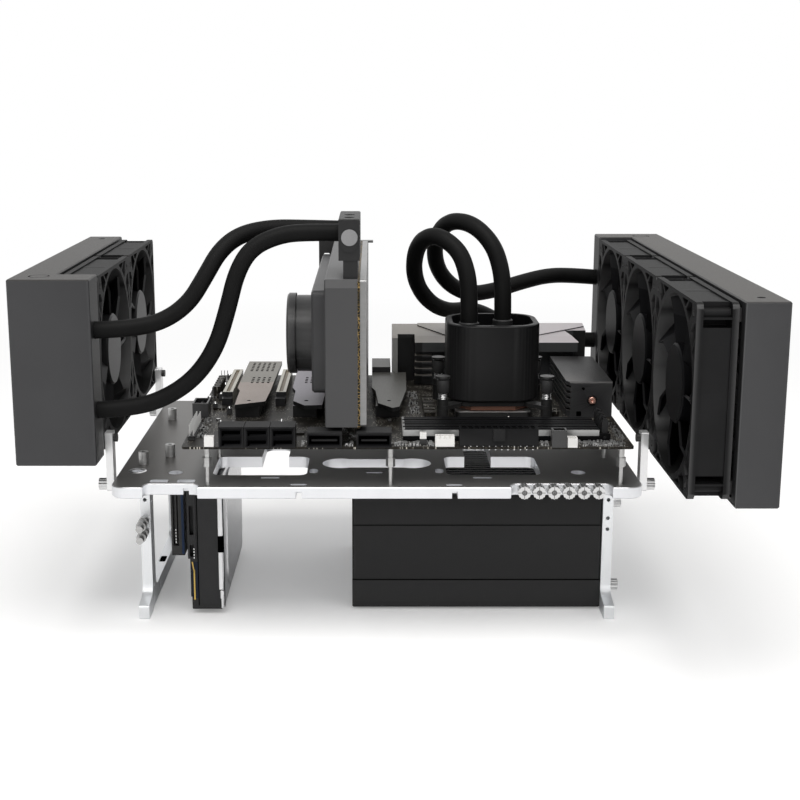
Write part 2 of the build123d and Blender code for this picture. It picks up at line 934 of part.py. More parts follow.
# Memory latches: levers that tip outwards on their pins
for index in range(slot_count):
    middle_y = slot_y(index)
    with BuildPart() as memory_latch:
        with BuildSketch(Plane.XZ.offset(-middle_y - latch_width / 2)):
            with Locations((latch_pin_x, latch_pin_z)):
                Circle(1.9)
            with BuildLine():
                Polyline(
                    (latch_pin_x - 1.9, latch_pin_z),
                    (latch_pin_x - 1.9, board_top + slot_height + latch_rise - 2.5),
                    (latch_pin_x - 0.6, board_top + slot_height + latch_rise),
                    (latch_pin_x + 2.6, board_top + slot_height + latch_rise - 1.0),
                    (latch_pin_x + 1.9, latch_pin_z),
                    close=True,
                )
            make_face()
        extrude(amount=latch_width)
        rod(
            (latch_pin_x, middle_y - slot_width / 2, latch_pin_z),
            (0, 1, 0),
            latch_pin_radius,
            slot_width,
        )
    save(memory_latch, f"memory_latch_{index + 1}")

# Expansion slots: long sockets with a card groove
with BuildPart() as card_slots:
    for step in card_slot_steps:
        middle_x = card_slot_x - step * card_slot_pitch
        block(
            (middle_x - card_slot_width / 2, middle_x + card_slot_width / 2),
            (card_slot_front, card_slot_front + card_slot_length),
            (board_top, board_top + card_slot_height),
        )
        block(
            (middle_x - card_slot_groove / 2, middle_x + card_slot_groove / 2),
            (card_slot_front + 2.0, card_slot_front + card_slot_length - 2.0),
            (board_top + 3.0, board_top + card_slot_height),
            mode=Mode.SUBTRACT,
        )
        # Retaining catch at the front end
        block(
            (middle_x - card_slot_width / 2, middle_x + card_slot_width / 2),
            (card_slot_front - 8.0, card_slot_front),
            (board_top, board_top + 6.0),
        )
save(card_slots, "card_slots")

# Drive covers between the slots: a base rib under a plate with pointed tip
cover_tips = (
    ((-10.0, 4.0), (11.3, 15.7)),
    ((-10.5, 17.1), (-1.6, 2.1), (11.1, 3.0)),
    ((-9.1, 10.0), (1.2, -6.2), (6.3, -1.6)),
)
cover_perforated = (True, True, False)
with BuildPart() as drive_covers:
    for middle_x, cover_rear, tip, perforated in zip(
        cover_centre_xs, cover_rears, cover_tips, cover_perforated
    ):
        half = cover_width / 2
        block(
            (middle_x - half + 3.0, middle_x + half - 7.0),
            (cover_front + 14.0, cover_rear - 12.0),
            (board_top, board_top + cover_base_height),
        )
        with BuildSketch(Plane.XY.offset(board_top + cover_base_height)):
            with BuildLine():
                Polyline(
                    *[(middle_x + tip_x, cover_front + tip_y) for tip_x, tip_y in tip],
                    (middle_x + half - 1.2, cover_front + 56.0),
                    (middle_x + half, cover_rear),
                    (middle_x - half, cover_rear),
                    (middle_x - half, cover_front + cover_notch_y),
                    (middle_x - half + 2.8, cover_front + cover_notch_y - 12.0),
                    close=True,
                )
            make_face()
            if perforated:
                with Locations((middle_x, cover_rear - 24.0)):
                    with GridLocations(4.2, 6.4, 5, 6):
                        Rectangle(2.0, 3.6, mode=Mode.SUBTRACT)
                with Locations((middle_x + 2.1, cover_rear - 78.0)):
                    with GridLocations(4.2, 6.4, 4, 4):
                        Rectangle(2.0, 3.6, mode=Mode.SUBTRACT)
            with Locations((middle_x - 1.0, cover_front + 18.0)):
                Circle(1.6, mode=Mode.SUBTRACT)
        extrude(amount=cover_plate_thickness)
    # Step behind the third cover, with a relief for the standoff tip in it
    step_left = cover_centre_xs[2] - cover_width / 2
    block(
        (step_left, step_left + cover_step_width),
        (cover_rears[2], cover_rears[2] + cover_step_length),
        (board_top, board_top + cover_step_height),
    )
    rod(
        (board_left + board_hole_xs[1], board_front + board_hole_ys[2], board_top),
        (0, 0, 1),
        standoff_neck_radius,
        standoff_tip + 0.6,
        mode=Mode.SUBTRACT,
    )
save(drive_covers, "drive_covers")

# Voltage regulator heat sink: a milled block with side fins
with BuildPart() as regulator_heatsink:
    with BuildSketch(Plane.XY.offset(board_top)):
        with BuildLine():
            Polyline(
                (heatsink_left + 2.5, heatsink_front),
                (heatsink_right, heatsink_front),
                (heatsink_right, heatsink_rear),
                (heatsink_left, heatsink_rear),
                (heatsink_left, heatsink_front + 4.0),
                close=True,
            )
        make_face()
    extrude(amount=heatsink_top - board_top)
    front_top = regulator_heatsink.edges().filter_by(Axis.X).group_by(Axis.Z)[-1]
    chamfer(front_top.sort_by(Axis.Y)[0], length=1.0)
    for fin in range(5):
        fin_z = board_top + 5.0 + fin * 4.2
        block(
            (heatsink_left - 1, heatsink_left + 3.2),
            (heatsink_front - 1, heatsink_rear + 1),
            (fin_z, fin_z + 1.8),
            mode=Mode.SUBTRACT,
        )
    rod(
        (heatsink_left + 18.8, heatsink_front, board_top + 12.5),
        (0, 1, 0),
        3.6,
        3.0,
        mode=Mode.SUBTRACT,
    )
    rod((heatsink_left + 18.8, heatsink_front + 3.0, board_top + 12.5), (0, -1, 0), 2.9, 2.4)
    rod(
        (heatsink_left + 11.9, heatsink_front, board_top + 21.4),
        (0, 1, 0),
        1.0,
        3.0,
        mode=Mode.SUBTRACT,
    )
save(regulator_heatsink, "regulator_heatsink")

# Rear socket cover: a faceted block, undercut below its front lip
socket_spans = ((20.0, 34.0, 3), (40.0, 58.0, 2), (64.0, 78.0, 4), (84.0, 98.0, 4), (104.0, 118.0, 4))
socket_row_height = 6.6
shield_crease_z = shield_front_top + shield_crease * 0.237
with BuildPart() as socket_cover:
    with BuildSketch(Plane.YZ.offset(shield_left)):
        with BuildLine():
            Polyline(
                (shield_front, shield_front_top - shield_lip),
                (shield_front, shield_front_top),
                (shield_front + shield_crease, shield_crease_z),
                (shield_rear, shield_rear_top),
                (shield_rear, board_top),
                (shield_front + shield_undercut, board_top),
                (shield_front + shield_undercut, shield_front_top - shield_lip),
                close=True,
            )
        make_face()
    extrude(amount=shield_right - shield_left)
    # Raised middle facet behind the crease
    rise = shield_rear_top - shield_crease_z
    run = shield_rear - shield_front - shield_crease
    slope = Plane(
        origin=(shield_left, shield_front + shield_crease, shield_crease_z),
        x_dir=(1, 0, 0),
        z_dir=(0, -rise, run),
    )
    slope_length = (rise ** 2 + run ** 2) ** 0.5
    with BuildSketch(slope):
        with BuildLine():
            Polyline(
                (43.2, 0.6),
                (119.0, 0.6),
                (shield_right - shield_left - 0.4, 0.72 * slope_length),
                (shield_right - shield_left - 0.4, slope_length - 0.6),
                (21.3, slope_length - 0.6),
                (21.3, 0.81 * slope_length),
                close=True,
            )
        make_face()
    extrude(amount=0.9)
    # Open bay at the left end, with a plain side wall left outside it
    block(
        (shield_left + shield_side_wall, shield_left + shield_bay_width),
        (shield_front - 1, shield_bay_rear),
        (board_top - 1, shield_rear_top + 1),
        mode=Mode.SUBTRACT,
    )
    block(
        (shield_left + shield_side_wall, shield_left + shield_bay_width),
        (shield_bay_rear - 1, shield_bay_rear + 6.0),
        (board_top - 1, shield_front_top + 1),
        mode=Mode.SUBTRACT,
    )
    block(
        (shield_left - 1, shield_left + shield_side_wall + 0.5),
        (shield_front - 1, shield_front + shield_undercut),
        (board_top - 1, shield_rear_top + 1),
        mode=Mode.SUBTRACT,
    )
    # The right end slants back from the front lip
    with BuildSketch(Plane.XY.offset(board_top - 1)):
        with BuildLine():
            Polyline(
                (shield_right + 1, shield_front - 1),
                (shield_front_right, shield_front - 1),
                (shield_front_right, shield_front + 2.0),
                (shield_front_right - 8.0, shield_front + shield_crease + 14.0),
                (shield_right + 1, shield_front + shield_crease + 14.0),
                close=True,
            )
        make_face()
    extrude(amount=shield_rear_top - board_top + 3.0, mode=Mode.SUBTRACT)
    # Cooling fins beside the bay, under the lip
    for fin in range(shield_fin_count):
        fin_z = shield_fin_low + fin * shield_fin_pitch
        block(
            (shield_left + shield_bay_width, shield_left + shield_bay_width + shield_fin_width),
            (shield_front + 0.8, shield_front + shield_undercut + 0.5),
            (fin_z, fin_z + 1.3),
        )
    # Relief for the standoff tip under the block
    rod(
        (board_left + board_hole_xs[2], board_front + board_hole_ys[2], board_top),
        (0, 0, 1),
        standoff_neck_radius,
        standoff_tip + 0.6,
        mode=Mode.SUBTRACT,
    )
    # Pockets in the rear wall for the row of sockets
    for low_x, high_x, rows in socket_spans:
        block(
            (low_x, high_x),
            (shield_rear - 20.0, shield_rear + 1),
            (board_top - 1, board_top + rows * socket_row_height + 2.0),
            mode=Mode.SUBTRACT,
        )
save(socket_cover, "socket_cover")

# Sockets behind the cover, each a block of stacked mouths with tongues
with BuildPart() as rear_sockets:
    for low_x, high_x, rows in socket_spans:
        block(
            (low_x + 0.5, high_x - 0.5),
            (shield_rear - 19.5, shield_rear + 0.8),
            (board_top, board_top + rows * socket_row_height + 1.5),
        )
        for row in range(rows):
            mouth_z = board_top + 1.6 + row * socket_row_height
            block(
                (low_x + 1.6, high_x - 1.6),
                (shield_rear - 8.0, shield_rear + 2.0),
                (mouth_z, mouth_z + 4.6),
                mode=Mode.SUBTRACT,
            )
            block(
                (low_x + 2.6, high_x - 2.6),
                (shield_rear - 8.0, shield_rear - 0.4),
                (mouth_z + 2.2, mouth_z + 3.6),
            )
save(rear_sockets, "rear_sockets")

# Processor socket: a metal load frame round the processor's lid
with BuildPart() as cpu_socket:
    with BuildSketch(Plane.XY.offset(board_top)):
        with Locations((cooler_x, cooler_y)):
            RectangleRounded(socket_width, socket_depth, 3.0)
    extrude(amount=socket_height)
    with BuildSketch(Plane.XY.offset(board_top + socket_height)):
        with Locations((cooler_x, cooler_y)):
            RectangleRounded(33.0, 33.0, 1.5)
    extrude(amount=lid_height)
save(cpu_socket, "cpu_socket")

plate_seat_z = board_top + socket_height + lid_height
with BuildPart() as cold_plate:
    with BuildSketch(Plane.XY.offset(plate_seat_z)):
        with Locations((cooler_x, cooler_y)):
            Rectangle(cold_plate_size, cold_plate_size)
    extrude(amount=cold_plate_thickness)
    chamfer(cold_plate.edges().filter_by(Axis.Z), length=cold_plate_corner)
    chamfer(cold_plate.faces().sort_by(Axis.Z)[0].edges(), length=0.5)
save(cold_plate, "cold_plate")

# Cooler bracket: a ring under the pump with four slotted arms
bracket_seat_z = plate_seat_z + cold_plate_thickness
bracket_plate_thickness = pump_bottom - bracket_seat_z
with BuildPart() as pump_bracket:
    with BuildSketch(Plane.XY.offset(bracket_seat_z)):
        with Locations((cooler_x, cooler_y)):
            RectangleRounded(pump_width - 6.0, pump_depth - 6.0, 14.0)
            with PolarLocations(pump_hole_pitch / 2 * 2 ** 0.5 - 7.0, 4, start_angle=45):
                SlotOverall(22.0, 9.5)
            with PolarLocations(pump_hole_pitch / 2 * 2 ** 0.5, 4, start_angle=45):
                Circle(pump_screw_stem_radius + 0.2, mode=Mode.SUBTRACT)
    extrude(amount=bracket_plate_thickness)
save(pump_bracket, "pump_bracket")

# Pump housing: a deep cup of rounded-square outline with a sunken top
with BuildPart() as pump_housing:
    with BuildSketch(Plane.XY.offset(pump_bottom)):
        with Locations((cooler_x, cooler_y)):
            RectangleRounded(pump_width, pump_depth, pump_corner_radius)
    extrude(amount=pump_top - pump_bottom)
    fillet(pump_housing.faces().sort_by(Axis.Z)[-1].edges(), radius=1.6)
    chamfer(pump_housing.faces().sort_by(Axis.Z)[0].edges(), length=1.8)
    with BuildSketch(Plane.XY.offset(pump_top)):
        with Locations((cooler_x, cooler_y)):
            RectangleRounded(
                pump_width - 2 * pump_rim,
                pump_depth - 2 * pump_rim,
                pump_corner_radius - pump_rim,
            )
    extrude(amount=-pump_recess, mode=Mode.SUBTRACT)
    with BuildSketch(Plane.XY.offset(pump_floor)):
        with Locations((cooler_x + 7.0, cooler_y - 18.5)):
            SlotOverall(28.0, 8.0)
    extrude(amount=1.2)
save(pump_housing, "pump_housing")

with BuildPart() as pump_screws:
    for side_x in (-1, 1):
        for side_y in (-1, 1):
            screw_x = cooler_x + side_x * pump_hole_pitch / 2
            screw_y = cooler_y + side_y * pump_hole_pitch / 2
            rod(
                (screw_x, screw_y, board_top),
                (0, 0, 1),
                pump_screw_stem_radius,
                pump_screw_top - board_top,
            )
            rod(
                (screw_x, screw_y, pump_screw_top - 1.6),
                (0, 0, 1),
                pump_screw_head_radius,
                1.6,
            )
            rod((screw_x, screw_y, board_top), (0, 0, 1), 4.2, bracket_seat_z - board_top)
            rod((screw_x, screw_y, pump_bottom), (0, 0, 1), 3.9, 4.5)
save(pump_screws, "pump_screws")

with BuildPart() as pump_fittings:
    for port_x, port_y in (near_port, rear_port):
        with BuildSketch(Plane.XY.offset(pump_floor)):
            with Locations((port_x, port_y)):
                Circle(fitting_radius)
        extrude(amount=fitting_height)
    rims = pump_fittings.edges().filter_by(GeomType.CIRCLE).group_by(Axis.Z)[-1]
    chamfer(rims, length=0.8)
save(pump_fittings, "pump_fittings")

# Graphics card board, standing in the right-hand expansion slot
with BuildPart() as card_board:
    with BuildSketch(Plane.YZ.offset(card_board_left)):
        with BuildLine():
            Polyline(
                (card_front, card_bottom - 0.7),
                (card_slot_front + 3.0, card_bottom - 0.7),
                (card_slot_front + 3.0, board_top + 4.0),
                (card_slot_front + card_slot_length - 3.0, board_top + 4.0),
                (card_slot_front + card_slot_length - 3.0, card_bottom - 0.7),
                (card_rear, card_bottom - 0.7),
                (card_rear, card_top - 1.0),
                (card_front, card_top - 1.0),
                close=True,
            )
        make_face()
    extrude(amount=card_board_thickness)
save(card_board, "card_board")

with BuildPart() as card_shroud:
    with BuildSketch(Plane.YZ.offset(shroud_left)):
        with Locations(((card_front + card_rear) / 2, (card_bottom + card_top) / 2)):
            Rectangle(card_rear - card_front, card_top - card_bottom)
    extrude(amount=shroud_depth)
    front_edges = card_shroud.edges().filter_by(Axis.X).group_by(Axis.Y)[0]
    chamfer(front_edges.sort_by(Axis.Z)[-1], length=shroud_chamfer, length2=2.5)
    outer_edges = card_shroud.faces().sort_by(Axis.X)[0].edges()
    chamfer(outer_edges, length=0.8)
save(card_shroud, "card_shroud")

with BuildPart() as card_side_cover:
    with BuildSketch(Plane.YZ.offset(side_cover_left)):
        with Locations(
            ((side_cover_front + card_rear) / 2, (side_cover_bottom + side_cover_top) / 2)
        ):
            RectangleRounded(
                card_rear - side_cover_front, side_cover_top - side_cover_bottom, 4.0
            )
    extrude(amount=side_cover_depth)
    chamfer(card_side_cover.faces().sort_by(Axis.X)[0].edges(), length=1.5)
save(card_side_cover, "card_side_cover")

# Card pump: a round cap with a groove, proud of the side cover
with BuildPart() as card_pump:
    with BuildSketch(Plane.XZ.offset(-card_pump_y)):
        with BuildLine():
            Polyline(
                (side_cover_left, card_pump_z),
                (side_cover_left, card_pump_z + card_pump_radius - 1.5),
                (side_cover_left - 11.0, card_pump_z + card_pump_radius - 1.5),
                (side_cover_left - 11.0, card_pump_z + card_pump_radius - 2.5),
                (side_cover_left - 12.0, card_pump_z + card_pump_radius - 2.5),
                (side_cover_left - 12.0, card_pump_z + card_pump_radius),
                (side_cover_left - card_pump_height + 1.2, card_pump_z + card_pump_radius),
                (side_cover_left - card_pump_height, card_pump_z + card_pump_radius - 1.2),
                (side_cover_left - card_pump_height, card_pump_z + card_pump_radius - 6.0),
                (side_cover_left - card_pump_height + 0.8, card_pump_z + card_pump_radius - 7.0),
                (side_cover_left - card_pump_height + 0.8, card_pump_z),
                close=True,
            )
        make_face()
    revolve(axis=Axis((0, card_pump_y, card_pump_z), (1, 0, 0)))
save(card_pump, "card_pump")

with BuildPart() as card_backplate:
    with BuildSketch(Plane.YZ.offset(card_board_right)):
        with Locations(((card_front + card_rear) / 2, (card_bottom + card_top) / 2)):
            RectangleRounded(card_rear - card_front - 2.0, card_top - card_bottom, 2.0)
    extrude(amount=backplate_thickness)
    # Shallow ribs pressed into the plate
    with BuildSketch(Plane.YZ.offset(card_board_right + backplate_thickness)):
        with Locations((55.0, 225.0), (55.0, 210.0), (55.0, 195.0)):
            SlotOverall(120.0, 3.0)
    extrude(amount=-0.6, mode=Mode.SUBTRACT)
save(card_backplate, "card_backplate")

# Manifold: the terminal block that takes the two hoses of the card
with BuildPart() as card_manifold:
    block(
        (manifold_left_x, manifold_left_x + manifold_width),
        (manifold_front, manifold_front + manifold_length),
        (card_top + manifold_foot_height, manifold_top),
    )
    top_rim = card_manifold.faces().sort_by(Axis.Z)[-1].edges()
    chamfer(top_rim, length=0.7)
    block(
        (manifold_left_x + 3.0, shroud_left + shroud_depth),
        (manifold_front + 0.6, manifold_front + manifold_length - 6.0),
        (card_top, card_top + manifold_foot_height),
    )
    for port_y in manifold_port_ys:
        rod(
            (manifold_left_x, port_y, manifold_port_z),
            (1, 0, 0),
            hose_diameter / 2 + hose_bore_clearance,
            port_depth,
            mode=Mode.SUBTRACT,
        )
    # Plain round emblem boss on the front face
    rod(
        (manifold_centre_x, manifold_front, manifold_port_z - 6.0),
        (0, -1, 0),
        emblem_radius,
        emblem_height,
    )
    with BuildSketch(Plane.XY.offset(manifold_top)):
        with Locations((manifold_centre_x, manifold_front + 12.0)):
            Circle(3.6)
        with Locations((manifold_centre_x, manifold_front + 32.0)):
            Circle(3.6)
    extrude(amount=-2.5, mode=Mode.SUBTRACT)
save(card_manifold, "card_manifold")

# Rear bracket of the card, with its bent top tab and vent openings
with BuildPart() as card_bracket:
    with BuildSketch(Plane.XZ.offset(-card_rear)):
        with Locations(
            ((bracket_left + bracket_right) / 2, (bracket_bottom + card_top - 0.8) / 2)
        ):
            Rectangle(bracket_right - bracket_left, card_top - 0.8 - bracket_bottom)
        vent_centre = ((bracket_left + bracket_right) / 2 - 6.0, 224.0)
        with Locations(vent_centre):
            with HexLocations(4.6, 3, 5):
                RegularPolygon(3.8, 6, mode=Mode.SUBTRACT)
        with Locations((-20.0, 168.0), (-20.0, 188.0)):
            RectangleRounded(7.0, 15.0, 1.0, mode=Mode.SUBTRACT)
    extrude(amount=-bracket_thickness)
    block(
        (bracket_left + 12.0, bracket_right + 4.0),
        (card_rear, card_rear + 11.0),
        (card_top - 2.0, card_top - 0.8),
    )
save(card_bracket, "card_bracket")


# Radiators: a frame with a full-depth tank at one end
def build_radiator(side, front, length, cap_low, cap_high, port_y, port_diameter):
    """One radiator housing; side is -1 for the left and 1 for the right."""
    inner = side * radiator_inner_x
    outer = side * radiator_outer_x
    low_x, high_x = min(inner, outer), max(inner, outer)
    face = side * port_face_x
    with BuildPart() as housing:
        with BuildSketch(Plane.XY.offset(radiator_bottom)):
            with Locations(((low_x + high_x) / 2, front + length / 2)):
                RectangleRounded(radiator_depth, length, radiator_corner_radius)
            with Locations(((face + outer) / 2, (cap_low + cap_high) / 2)):
                RectangleRounded(
                    abs(outer - face), cap_high - cap_low, radiator_corner_radius
                )
        extrude(amount=radiator_height)
        chamfer(
            housing.faces().sort_by(Axis.Z)[-1].edges()
            + housing.faces().sort_by(Axis.Z)[0].edges(),
            length=0.8,
        )
        # Opening for the finned core
        core_low = front + radiator_frame
        core_high = front + length - radiator_frame
        if cap_low < front + 1:
            core_low = cap_high + 2.0
        else:
            core_high = cap_low - 2.0
        block(
            (low_x - 1, high_x + 1),
            (core_low, core_high),
            (radiator_bottom + 4.0, radiator_bottom + radiator_height - 4.0),
            mode=Mode.SUBTRACT,
        )
        # Hose ports in the tank's inner face
        for port_z in port_zs:
            rod(
                (face, port_y, port_z),
                (side, 0, 0),
                port_diameter / 2 + hose_bore_clearance,
                port_depth,
                mode=Mode.SUBTRACT,
            )
        # Filler and cover screws on the top face
        with BuildSketch(Plane.XY.offset(radiator_bottom + radiator_height)):
            middle_x = (low_x + high_x) / 2
            with Locations((middle_x, front + 18.0), (middle_x, front + length - 18.0)):
                Circle(2.6)
            with Locations((middle_x - side * 4.0, (cap_low + cap_high) / 2 - side * 4.0)):
                Circle(7.0)
                Circle(6.0, mode=Mode.SUBTRACT)
        extrude(amount=-0.8, mode=Mode.SUBTRACT)
    with BuildPart() as core:
        block(
            (low_x + radiator_recess, high_x - radiator_recess),
            (core_low, core_high),
            (radiator_bottom + 4.0, radiator_bottom + radiator_height - 4.0),
        )
        # Gaps between the flat tubes, open to both faces
        gap_count = int((radiator_height - 12.0) / core_fin_pitch)
        for gap in range(gap_count):
            gap_z = radiator_bottom + 9.0 + gap * core_fin_pitch
            for face_x in (low_x + radiator_recess, high_x - radiator_recess - core_fin_depth):
                block(
                    (face_x, face_x + core_fin_depth),
                    (core_low + 3.0, core_high - 3.0),
                    (gap_z, gap_z + core_fin_width),
                    mode=Mode.SUBTRACT,
                )
        # Mounting rails that reach the fans through the gap
        for rail_z in (fan_bottom + fan_hole_inset, fan_bottom + fan_size - fan_hole_inset):
            block(
                (min(side * fan_outer_x, inner + side * radiator_recess),
                 max(side * fan_outer_x, inner + side * radiator_recess)),
                (core_low, core_high),
                (rail_z - rail_height / 2, rail_z + rail_height / 2),
            )
    return housing, core


radiator_left, radiator_core_left = build_radiator(
    -1,
    left_radiator_front,
    left_radiator_length,
    left_radiator_front,
    left_cap_rear,
    left_port_y,
    hose_diameter,
)
save(radiator_left, "radiator_left")
save(radiator_core_left, "radiator_core_left")
radiator_right, radiator_core_right = build_radiator(
    1,
    right_radiator_front,
    right_radiator_length,
    right_cap_front,
    right_cap_front + right_cap_length,
    right_port_y,
    pump_hose_diameter,
)
save(radiator_right, "radiator_right")
save(radiator_core_right, "radiator_core_right")


# Fans: a square frame with an open intake, carrying the rotor's bearing
fan_corner_webs = (
    ((57.0, 21.0), (57.9, 21.0), (57.9, 36.5), (53.4, 30.0)),
    ((57.9, 39.0), (57.9, 47.5), (50.5, 46.6), (46.2, 41.0), (52.2, 32.2)),
)


def turned_corner(x, y, turn, flip):
    """A corner point mirrored about the diagonal and turned about the axis."""
    if flip < 0:
        x, y = y, x
    angle = radians(turn)
    return (x * cos(angle) - y * sin(angle), x * sin(angle) + y * cos(angle))


def build_fan_frame():
    """Frame centred on the origin; its open intake faces +Z."""
    half_depth = fan_depth / 2
    half_size = fan_size / 2
    wall_radius = fan_bore / 2 + 1.6
    with BuildPart() as frame:
        with BuildSketch(Plane.XY.offset(-half_depth)):
            RectangleRounded(fan_size - fan_seam, fan_size - fan_seam, fan_corner_radius)
        extrude(amount=fan_depth)
        # Side walls sunk between the two flanges, open at the corners
        inner_depth = fan_depth - 2 * fan_flange
        with BuildSketch(Plane.XY.offset(-inner_depth / 2)):
            Rectangle(fan_size + 2, fan_size + 2)
            Rectangle(
                fan_size - 2 * fan_side_recess,
                fan_size - 2 * fan_side_recess,
                mode=Mode.SUBTRACT,
            )
            with GridLocations(fan_size, fan_size, 2, 2):
                Rectangle(2 * fan_corner_pocket, 2 * fan_corner_pocket)
            with GridLocations(fan_hole_pitch, fan_hole_pitch, 2, 2):
                Circle(fan_hole_radius + 1.6, mode=Mode.SUBTRACT)
            Circle(wall_radius, mode=Mode.SUBTRACT)
        extrude(amount=inner_depth, mode=Mode.SUBTRACT)
        # Corner ribs that tie the flanges together
        with BuildSketch(Plane.XY.offset(-inner_depth / 2)):
            for turn in (0, 90, 180, 270):
                with Locations(Rotation(0, 0, turn)):
                    with Locations((half_size - 9.5, half_size - 4.0)):
                        Rectangle(1.2, 8.0 - fan_side_recess)
                    with Locations((half_size - 4.0, half_size - 9.5)):
                        Rectangle(8.0 - fan_side_recess, 1.2)
        extrude(amount=inner_depth)
        # Three-cornered openings in the intake flange, two pairs at each corner
        with BuildSketch(Plane.XY.offset(fan_flange - half_depth)):
            for turn in (0, 90, 180, 270):
                for flip in (1, -1):
                    for web in fan_corner_webs:
                        with BuildLine():
                            Polyline(
                                *[turned_corner(x, y, turn, flip) for x, y in web],
                                close=True,
                            )
                        make_face()
        extrude(amount=fan_depth - fan_flange, mode=Mode.SUBTRACT)
        with BuildSketch(Plane.XY.offset(-half_depth)):
            Circle(fan_bore / 2)
            with GridLocations(fan_hole_pitch, fan_hole_pitch, 2, 2):
                Circle(fan_hole_radius)
        extrude(amount=fan_depth, mode=Mode.SUBTRACT)
        # Motor mount, its four struts and the bearing tube
        with BuildSketch(Plane.XY.offset(-half_depth)):
            Circle(hub_radius - 1.5)
            with PolarLocations(fan_bore / 4 + 1.0, 4, start_angle=45):
                Rectangle(fan_bore / 2, fan_strut_width)
            Circle(fan_bore / 2 + 0.8, mode=Mode.INTERSECT)
        extrude(amount=fan_strut_depth)
        with BuildSketch(Plane.XY.offset(fan_strut_depth - half_depth)):
            Circle(stator_radius)
        extrude(amount=half_depth - fan_strut_depth + hub_rise - hub_wall - 2.0)
        with BuildSketch(Plane.XY.offset(hub_rise - hub_wall - 2.0)):
            Circle(spindle_radius + spindle_clearance)
        extrude(amount=-(half_depth + hub_rise - hub_wall - 3.5), mode=Mode.SUBTRACT)
    return frame


def build_fan_rotor():
    """Rotor centred on the origin, with its closed hub face towards +Z."""
    half_depth = fan_depth / 2
    tip_radius = fan_bore / 2 - blade_tip_gap
    sections = (
        (hub_radius - 1.5, blade_root_chord, blade_root_pitch, 0.0),
        (fan_bore / 4 + 13.0, (blade_root_chord + blade_tip_chord) / 2,
         (blade_root_pitch + blade_tip_pitch) / 2, blade_sweep * 0.35),
        (tip_radius + 3.0, blade_tip_chord, blade_tip_pitch, blade_sweep),
    )
    with BuildPart() as rotor:
        for blade in range(blade_count):
            turn = blade * 360 / blade_count
            for radius, chord, pitch, sweep_angle in sections:
                angle = radians(turn + sweep_angle)
                outward = (cos(angle), sin(angle), 0)
                along = (-sin(angle), cos(angle), 0)
                origin = (radius * cos(angle), radius * sin(angle), 1.5)
                with BuildSketch(Plane(origin=origin, x_dir=along, z_dir=outward)):
                    Rectangle(chord, blade_thickness, rotation=pitch)
            loft(ruled=True)
        with BuildSketch(Plane.XY.offset(-half_depth)):
            Circle(tip_radius)
        extrude(amount=fan_depth, mode=Mode.INTERSECT)
        with BuildSketch(Plane.XY.offset(-hub_drop)):
            Circle(hub_radius)
        extrude(amount=hub_drop + hub_rise - hub_bevel)
        with BuildSketch(Plane.XY.offset(hub_rise - hub_bevel)):
            Circle(hub_radius)
        extrude(amount=hub_bevel, taper=45)
        with BuildSketch(Plane.XY.offset(-half_depth)):
            Circle(hub_radius - hub_wall)
        extrude(amount=half_depth + hub_rise - hub_wall, mode=Mode.SUBTRACT)
        with BuildSketch(Plane.XY.offset(hub_rise - hub_wall)):
            Circle(spindle_radius)
        extrude(amount=-(half_depth + hub_rise - hub_wall - 1.8))
    return rotor


fan_frame_master = build_fan_frame()
fan_rotor_master = build_fan_rotor()


def fan_plane(side, index):
    """Where the fan with this index stands, counted from the rear end."""
    middle_x = side * (fan_inner_x + fan_depth / 2)
    middle_y = fan_row_y - (index + 0.5) * fan_size
    return Plane(
        origin=(middle_x, middle_y, fan_middle_z), x_dir=(0, side, 0), z_dir=(-side, 0, 0)
    )


for side, side_name, fan_count in ((-1, "left", 2), (1, "right", 3)):
    with BuildPart() as fan_frames:
        for index in range(fan_count):
            add(fan_plane(side, index).location * fan_frame_master.part)
    save(fan_frames, f"fan_frames_{side_name}")
    for index in range(fan_count):
        with BuildPart() as fan_rotor:
            add(fan_plane(side, index).location * fan_rotor_master.part)
        save(fan_rotor, f"fan_rotor_{side_name}_{index + 1}")


# Hoses: stiff coolant tubes, each a row of straight runs and large arcs
def bend_radii(points):
    """The largest radius that the two runs at each corner allow."""
    radii = []
    for before, corner, after in zip(points, points[1:], points[2:]):
        run_in = Vector(*corner) - Vector(*before)
        run_out = Vector(*after) - Vector(*corner)
        half_turn = radians(run_in.get_angle(run_out) / 2)
        radii.append(0.45 * min(run_in.length, run_out.length) / tan(half_turn))
    return radii


def build_hose(name, points, diameter):
    """Sweep one hose along its route and report its bends and volume."""
    radii = bend_radii(points)
    with BuildPart() as hose:
        with BuildLine() as route:
            FilletPolyline(*points, radius=radii)
        start = Plane(origin=points[0], z_dir=Vector(*points[1]) - Vector(*points[0]))
        with BuildSketch(start):
            Circle(diameter / 2)
        sweep(path=route.wires()[0])
    length = route.wires()[0].length
    section = 3.14159265 * diameter ** 2 / 4
    print(
        name,
        "length", round(length, 1),
        "volume ratio", round(hose.part.volume / (section * length), 4),
        "radii", [round(radius, 1) for radius in radii],
    )
    save(hose, name)


